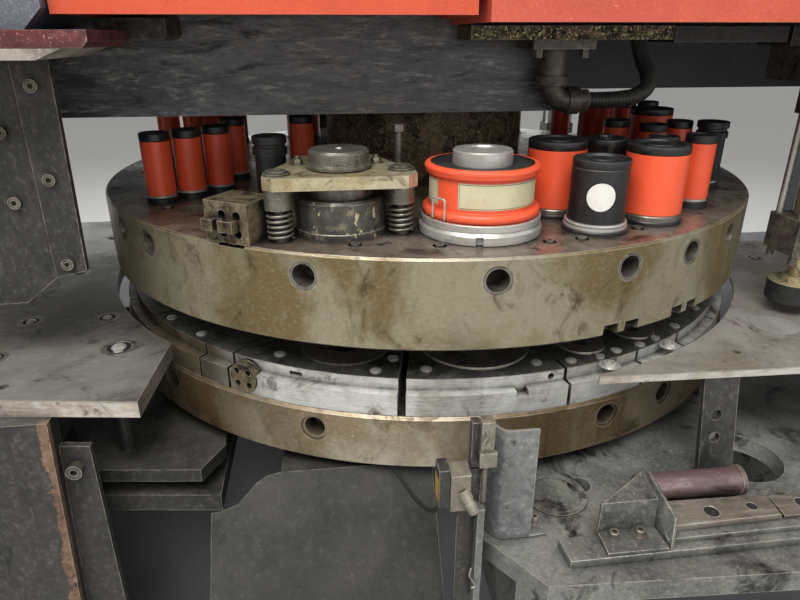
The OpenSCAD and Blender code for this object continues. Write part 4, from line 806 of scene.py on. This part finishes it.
def make_conduit_hose(rubber):
    """The corrugated hose: a wire whose radius swells at each rib."""
    route = smooth_path(places(HOSE_POINTS), 40)
    steps = step_lengths(route)
    run = np.concatenate([[0.0], np.cumsum(steps)])
    ribs = np.abs(np.sin(np.pi * run / HOSE_RIB_PITCH)) ** 0.6
    hose = wire("conduit_hose_ribbed", route, HOSE_RADIUS - HOSE_RIB_DEPTH + HOSE_RIB_DEPTH * ribs, 28)
    plain_piece(hose, "frame", rubber, "black_rubber")
    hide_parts("conduit_hose")


# Springs of the auto index station

INDEX_CENTRE = np.array([-0.194, -0.488])
INDEX_POSTS = [np.array([-0.084, -0.041]), np.array([0.084, -0.024])]


def make_index_springs(steel):
    """Two coils that the stroke of the index plate presses together: each a wire carried along a helix, left
    at its full length.
    """
    wire_radius, mean, height, turns = 0.0022, 0.0162, 0.0446, 5.5
    for number, post in enumerate(INDEX_POSTS):
        t = np.linspace(0.0, turns * FULL_TURN, int(turns * 40))
        x, y = INDEX_CENTRE + post
        z = TURRET_TOP + wire_radius + (height - 2.0 * wire_radius) * t / t[-1]
        helix = np.stack([x + mean * np.cos(t), y + mean * np.sin(t), z], -1)
        coil = wire(f"index_spring_{number + 1}", helix, wire_radius, 12)
        plain_piece(coil, "upper_turret", steel, "spring_steel")
        if number == 0:
            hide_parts("indexer_springs")
        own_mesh(coil)


# Bare plates, rings and a latch on the tools

MEDIUM_STATIONS = [(29.1, 562), (18, 456), (85.4, 496), (115, 540), (-118, 540), (145, 540), (-148, 500)]
BLACK_TOOL = (17.9, 556)
STUB_TOOL = (27.6, 479.5)
STUB_RADIUS = 32
LARGE_BODY_RADIUS = 0.0741
PLATE_SPAN = (0.0455, 0.0805)
STEP_RADIUS = 0.0852
LATCH_WIRE = 0.0016
SKIN = 0.0004


def around_upright(centre, radius, t, heights):
    """Points on an upright cylinder: centre + radius (sin t, -cos t), as the stations count."""
    return np.stack([centre[0] + radius * np.sin(t), centre[1] - radius * np.cos(t), heights], -1)


def wrapped_patch(name, centre, radius, angles, heights, thick):
    """A thin plate wrapped round an upright cylinder between two angles and two heights."""
    columns = 40
    low, high = heights
    t = np.broadcast_to(np.radians(np.linspace(*angles, columns))[:, None], (columns, 4))
    r = np.array([radius, radius + thick, radius + thick, radius])
    z = np.broadcast_to([low, low, high, high], (columns, 4))
    piece = surface(name, around_upright(centre, r, t, z))
    piece.data.shade_flat()
    return piece


def wrapped_disc(name, centre, radius, angle, height, disc_radius):
    """A thin round sticker on an upright cylinder: rings of points mapped to angle and height."""
    rho = np.linspace(0.0, disc_radius, 8)[:, None]
    turn = circle(40)[None, :]
    t = math.radians(angle) + rho * np.cos(turn) / radius
    points = around_upright(centre, radius + SKIN, t, height + rho * np.sin(turn))
    return surface(name, points, capped=False)


def make_tool_plates():
    """Bare plates on the large tool: cream, a dark line near the border and cream again inside it."""
    cream = make_finish("label_cream", "label_cream", wear=0.0)
    line = make_finish("label_line", "black_cap", wear=0.0)
    low, high = (TURRET_TOP + height for height in PLATE_SPAN)
    for number, (start, end) in enumerate([(-38.0, 66.0), (-92.0, -66.0)]):
        for layer, (skin, inset) in enumerate([(cream, 0.0), (line, 0.0014), (cream, 0.0021)]):
            lean = math.degrees(inset / LARGE_BODY_RADIUS)
            plate = wrapped_patch(
                f"large_tool_plate_{number + 1}_{layer + 1}", LARGE_TOOL, LARGE_BODY_RADIUS,
                (start + lean, end - lean), (low + inset, high - inset), SKIN * (1 + layer / 2))
            plain_piece(plate, "large_guide", skin, "tool_orange")
    white = make_finish("label_white", "label_white", wear=0.0)
    sticker = wrapped_disc("black_tool_sticker", station(*BLACK_TOOL), 0.0402, -18.0, TURRET_TOP + 0.055,
                           0.0195)
    plain_piece(sticker, "upper_turret", white, "dark_steel")


def make_large_tool_parts(steel, orange):
    """The stepped steel ring, the wider lower flange, and the wire latch of the large tool."""
    foot = (*LARGE_TOOL, TURRET_TOP)
    step = turned("large_tool_step", foot, UP, [
        (17, 76), (17, STEP_RADIUS / MM), (18, 86), (26.2, 86), (27.2, 85), (27.2, 76)], 96)
    plain_piece(step, "large_guide", steel, "bright_steel")
    t = np.linspace(-QUARTER_TURN, QUARTER_TURN, 9)
    bulge = [(33.8 + 6.2 * math.sin(a), 79.2 + 4.6 * math.cos(a)) for a in t]
    flange = turned("large_tool_flange", foot, UP, [
        (27.2, 74.5), (27.2, 82.2), *bulge, (40.2, 74.5)], 96)
    plain_piece(flange, "large_guide", orange, "tool_orange")
    angles = np.radians([-63.0, -63.0, -60.0, -51.0, -48.0, -48.0])
    heights = np.array([0.030, 0.055, 0.058, 0.058, 0.055, 0.030])
    bow = smooth_path(around_upright(LARGE_TOOL, STEP_RADIUS, angles, TURRET_TOP + heights), 8)
    plain_piece(wire("large_tool_latch", bow, LATCH_WIRE, 14), "large_guide", steel, "bright_steel")


def make_medium_heads():
    """Turned heads of the medium tools, the smaller black tool and the low one with two studs on it."""
    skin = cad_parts["medium_guide_heads"].data.materials[0]

    def stood(name, place, profile):
        piece = turned(name, (*station(*place), TURRET_TOP), UP, profile, 64)
        return plain_piece(piece, "upper_turret", skin, "dark_steel")

    def lid(low, high, radius, wide):
        """The head's profile: a shoulder, an eased rim, a sunk ring and a raised middle."""
        return [(low, radius - 1.0), (low + 1.5, radius), (high - 3.0, radius), (high - 0.9, radius - 0.6),
                (high, radius - 2.0), (high, radius - wide), (high - 4.0, radius - wide - 2.0),
                (high - 4.0, radius - wide - 14.0), (high - 1.0, radius - wide - 15.0), (high - 1.0, 0.3)]

    for number, place in enumerate(MEDIUM_STATIONS):
        head = stood(f"medium_head_{number + 1}", place, [(101.5, 30.0), *lid(102.0, 115.0, 44.5, 9.0)])
        if number == 0:
            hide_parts("medium_guide_heads")
    stood("black_tool", BLACK_TOOL, [
        (-30.0, 44.0), (0.2, 44.0), (0.2, 46.0), (5.0, 46.0), (6.6, 44.6), (10.0, 44.6), (10.8, 42.0),
        (12.6, 42.0), (13.4, 44.0), (15.4, 43.6), (16.2, 40.0), (90.0, 40.0), (90.6, 39.2),
        *lid(91.2, 103.0, 40.0, 8.0)])
    stood("stub_tool", STUB_TOOL, [
        (-30.0, STUB_RADIUS), (0.2, STUB_RADIUS), (0.2, STUB_RADIUS + 2.0), (8.0, STUB_RADIUS + 2.0),
        (10.0, STUB_RADIUS), *lid(100.0, 114.0, STUB_RADIUS, 10.0)])
    middle = station(*STUB_TOOL)
    for number, (x, y) in enumerate([(-0.009, 0.004), (0.007, 0.004)]):
        foot = (middle[0] + x, middle[1] + y, TURRET_TOP + 0.112)
        stud = turned(f"stub_stud_{number + 1}", foot, UP, [
            (0, 3.4), (6, 3.4), (6.8, 2.8), (7.5, 0.4)], 24)
        plain_piece(stud, "upper_turret", skin, "dark_steel")


# Sensor on its bracket

def bent_sheet(name, plan, low, high, thick):
    """A sheet bent along a plan path and standing from low to high: the path and a copy moved by thick."""
    path = smooth_path(plan, 6)
    heading = unit(np.gradient(path, axis=0))
    aside = np.stack([-heading[:, 1], heading[:, 0], np.zeros(len(path))], -1) * thick
    z = np.array([0.0, 0.0, 1.0])
    return sharpen(surface(name, np.stack([path + low * z, path + high * z, path + aside + high * z,
                                           path + aside + low * z], 1)))


def make_sensor():
    """The bent plate with its foot, the hanging plate, the switch with its plunger, the feeler and pins."""
    plate_skin = make_finish("sensor_plate_skin", "zinc_plate", wear=0.9, grime=0.6, reach=0.015)
    dark_skin = make_finish("sensor_dark_skin", "dusty_black", grime=0.5, reach=0.012)
    alloy = make_finish("sensor_alloy", "switch_alloy", wear=0.8, grime=0.5, reach=0.008)
    label = make_finish("switch_label", "label_amber", wear=0.0)
    plate_span = (-0.3475, -0.180)
    foot_height = -346.5

    def fixed(piece, skin, slot_name="dark_sheet"):
        return plain_piece(piece, "frame", skin, slot_name)

    def block(name, x, z, front, deep, skin, slot_name="dark_sheet", ease=0.0010):
        corners = [(x[0], front, z[0]), (x[1], front, z[0]), (x[1], front, z[1]), (x[0], front, z[1])]
        return fixed(slab(name, places(corners), deep * MM, ease), skin, slot_name)

    bends = [(-27, -726), (-23, -740), (-18, -750), (-9, -756), (8, -757), (30, -757)]
    plan = [at(x, y, 0) for x, y in bends]
    sheet = fixed(bent_sheet("sensor_plate", plan, *plate_span, 0.0032), plate_skin)
    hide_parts("sensor_bracket")
    foot = [(x, y, foot_height) for x, y in ((28, -757), (53, -755), (53, -722), (28, -722))]
    fixed(slab("sensor_foot", places(foot), 0.0034), plate_skin)
    fixed(washer_bolt("sensor_foot_bolt", at(44, -733, foot_height), 5.2, 10.5), alloy, "bright_steel")
    for number, (x, z) in enumerate([(-2, -196), (-4, -297)]):
        eye = turned(f"sensor_plate_eye_{number + 1}", at(x, -757, z), (0, -1, 0), [
            (-2, 4.2), (0.6, 4), (0.6, 2.6), (0.1, 2.4), (0.1, 0.1)], 24)
        fixed(eye, dark_skin)
    block("sensor_hanger", (-71, -43), (-550, -226), -764, 5, dark_skin)
    block("sensor_hanger_rib", (-49, -40), (-432, -274), -782, 18, plate_skin)
    block("sensor_head_back", (-57, -47), (-222, -158), -766, 14, dark_skin)
    block("sensor_head", (-47, -31), (-214, -154), -774, 18, alloy, "switch_body")
    block("sensor_head_clamp", (-49, -28), (-214, -194), -779, 8, alloy, "switch_body")
    rod = turned("feeler_rod", at(-40, -769, -214), (0, 0, -1), [
        (0, 3.4), (57, 3.4), (59, 2.2), (59.5, 0.3)], 28)
    fixed(rod, alloy, "bright_steel")
    body = block("switch_body", (-85, -61), (-266, -214), -790, 30, alloy, "switch_body", 0.0016)
    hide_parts("limit_switch")
    block("switch_cover", (-99, -85.5), (-262, -208), -786, 26, dark_skin, "switch_body", 0.0012)
    side_face = [(-99.3, y, z) for y, z in ((-763, -256), (-783, -256), (-783, -224), (-763, -224))]
    fixed(slab("switch_side_plate", places(side_face), 0.0008, 0.0002), label, "switch_body")
    plunger = turned("switch_plunger", at(-70, -786, -238), (0.42, -0.50, -0.76), [
        (0, 7.8), (12, 7.8), (12.5, 6.6), (16, 6.6), (16.5, 7.4), (26, 7.4),
        (29, 6.6), (30.5, 4.4), (31, 0.5)], 36)
    fixed(plunger, alloy, "switch_body")
    pins = [[(-44, -777, -160), (-41, -778, -170), (-46, -779, -178), (-42, -780, -184), (-39, -779, -178)],
            [(-54, -784, -364), (-56, -785, -376), (-51, -786, -386), (-48, -786, -394), (-53, -786, -396)]]
    for number, route in enumerate(pins):
        pin = wire(f"cotter_pin_{number + 1}", smooth_path(places(route), 8), 0.0011, 12)
        fixed(pin, alloy, "bright_steel")


# Guide rail, bracket and tube on the deck

def make_deck_parts():
    """The rail with its bolted bars, the folded bracket that shields them, and the tube behind."""
    deck_paint = make_finish("rail_paint", "deck_black", wear=1.0, grime=0.5)
    bar_steel = make_finish("bar_steel", "bar_steel", wear=1.0, grime=0.5, reach=0.012)
    tube_paint = make_finish("tube_paint", "brown_tube", wear=0.9, grime=0.4)
    bolt_steel = make_finish("bolt_steel", "dull_steel", wear=0.7, grime=0.5, reach=0.008)
    painted_hole_shade = make_finish("painted_hole_shade", "black_rubber", wear=0.0)

    def flat(name, plan, heights, thick, skin=deck_paint, slot_name="dark_sheet"):
        """A plate from its outline in plan, with one height for all corners or one for each."""
        corners = [at(x, y, z) for (x, y), z in zip(plan, np.broadcast_to(heights, len(plan)))]
        return plain_piece(slab(name, corners, thick * MM), "frame", skin, slot_name)

    rail = flat("deck_rail", [(62, -774), (64, -814), (371, -812), (600, -812), (600, -774)], -338, 11.9)
    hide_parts("deck_guides")
    flat("deck_rail_step", [(195, -801), (640, -797), (640, -744), (205, -746)], -330, 8.2)
    bright = (bar_steel, "bright_steel")
    flat("deck_bar_1", [(206, -790), (360, -787), (364, -748), (216, -744)], -320, 9.8, *bright)
    flat("deck_bar_2", [(366, -786), (516, -783), (520, -745), (369, -747)], -324, 6.0, *bright)
    holes = [(271, -771, -320, 10), (330, -768, -320, 7), (406, -765, -324, 9), (476, -763, -324, 7)]
    for number, (x, y, z, radius) in enumerate(holes):
        rim = turned(f"bar_hole_rim_{number + 1}", at(x, y, z), UP, [
            (-1, radius * 1.12), (0.3, radius * 1.10), (0.5, radius), (0.1, radius * 0.95),
            (0.1, radius * 0.9)], 40)
        plain_piece(rim, "frame", *bright)
        # Each hole is a black disc just above the bar inside its rim: painted shade of the hole.
        hole_shade_disc = turned(f"bar_hole_{number + 1}", at(x, y, z), UP, [
            (-2, radius * 0.97), (0.2, radius * 0.97), (0.2, radius * 0.02)], 40)
        plain_piece(hole_shade_disc, "frame", painted_hole_shade, "dark_steel")
    flat("bracket_foot", [(112, -812), (192, -812), (192, -770), (114, -770)], -333, 5.0)
    flat("bracket_wall", [(114, -775), (192, -775), (192, -771), (116, -771)], (-336, -336, -291, -291), 5.0)
    flat("bracket_slope", [(116, -771), (192, -771), (194, -722)], (-291, -291, -283), 5.0)
    gusset = [(196, -811), (206, -793), (202, -724), (194, -716)]
    flat("bracket_gusset", gusset, (-338, -304, -286, -338), 5.0)
    for number, (x, y) in enumerate([(131, -785), (166, -785)]):
        bolt = washer_bolt(f"bracket_bolt_{number + 1}", at(x, y, -333), 6.2, 9)
        plain_piece(bolt, "frame", bolt_steel, "dark_sheet")
    tube = turned("deck_tube", at(196, -711, -322), (1.0, -0.012, 0.0), [
        (0, 2), (0, 18.5), (146, 18.5), (146.5, 20.5), (152.5, 21), (153.5, 19.5),
        (153.5, 15.5), (120, 15), (120, 1)])
    plain_piece(tube, "frame", tube_paint, "dark_sheet")


def make_clamp_heads():
    """Cap bolts on washers that clamp the right die holders."""
    steel = make_finish("clamp_steel", "bright_steel", wear=0.5, grime=0.5, reach=0.006)
    for number, (x, y) in enumerate([(186.5, -604.4), (305.6, -555.4)]):
        head = washer_bolt(f"clamp_head_{number + 1}", (x * MM, y * MM, PASS_LINE), 8.8, 5.5)
        plain_piece(head, "lower_turret", steel, "die_steel")


def make_ball_transfer():
    """The large ball transfer of the left table: a turned cup with a flange, and the dome of its ball."""
    centre = (-0.544, -0.457)
    # The cup's flat middle round the ball is black: painted shade of its hollow.
    cup_steel = make_finish("ball_cup", "dull_steel", ("black_cap", within(centre, 0.019)), wear=0.8,
                            grime=0.6, reach=0.006)
    ball_steel = make_finish("ball_steel", "bright_steel", wear=0.0, grime=0.4, reach=0.006)
    cup = turned("ball_cup", (*centre, PASS_LINE), UP, [
        (0, 27), (0.8, 26.8), (1.2, 25.5), (1.2, 20), (0.3, 18.8), (0.3, 1)])
    plain_piece(cup, "frame", cup_steel, "bright_steel")
    dome = [(5 * math.sin(a), 0.5 + 11 * math.cos(a)) for a in np.linspace(0.0, QUARTER_TURN, 12)]
    ball = turned("ball_of_transfer", (*centre, PASS_LINE), UP, dome, 48)
    plain_piece(ball, "frame", ball_steel, "bright_steel")


make_camera()
make_sensor_cable(make_finish("cable_rubber", "black_rubber", wear=0.0))
make_conduit_hose(make_finish("hose_rubber", "ribbed_hose", wear=0.0, grime=0.6, reach=0.004))
make_stage()
make_lamps()
dress_nodes()
make_index_springs(make_finish("spring_wire", "dull_steel", wear=0.0))
make_tool_plates()
make_large_tool_parts(make_finish("tool_steel", "bright_steel", wear=0.3, grime=0.3, reach=0.01),
                      make_finish("flange_orange", "tool_orange", wear=0.0, grime=0.4, reach=0.01))
make_medium_heads()
make_sensor()
make_deck_parts()
make_clamp_heads()
make_ball_transfer()

bpy.context.scene.view_settings.view_transform = "Standard"
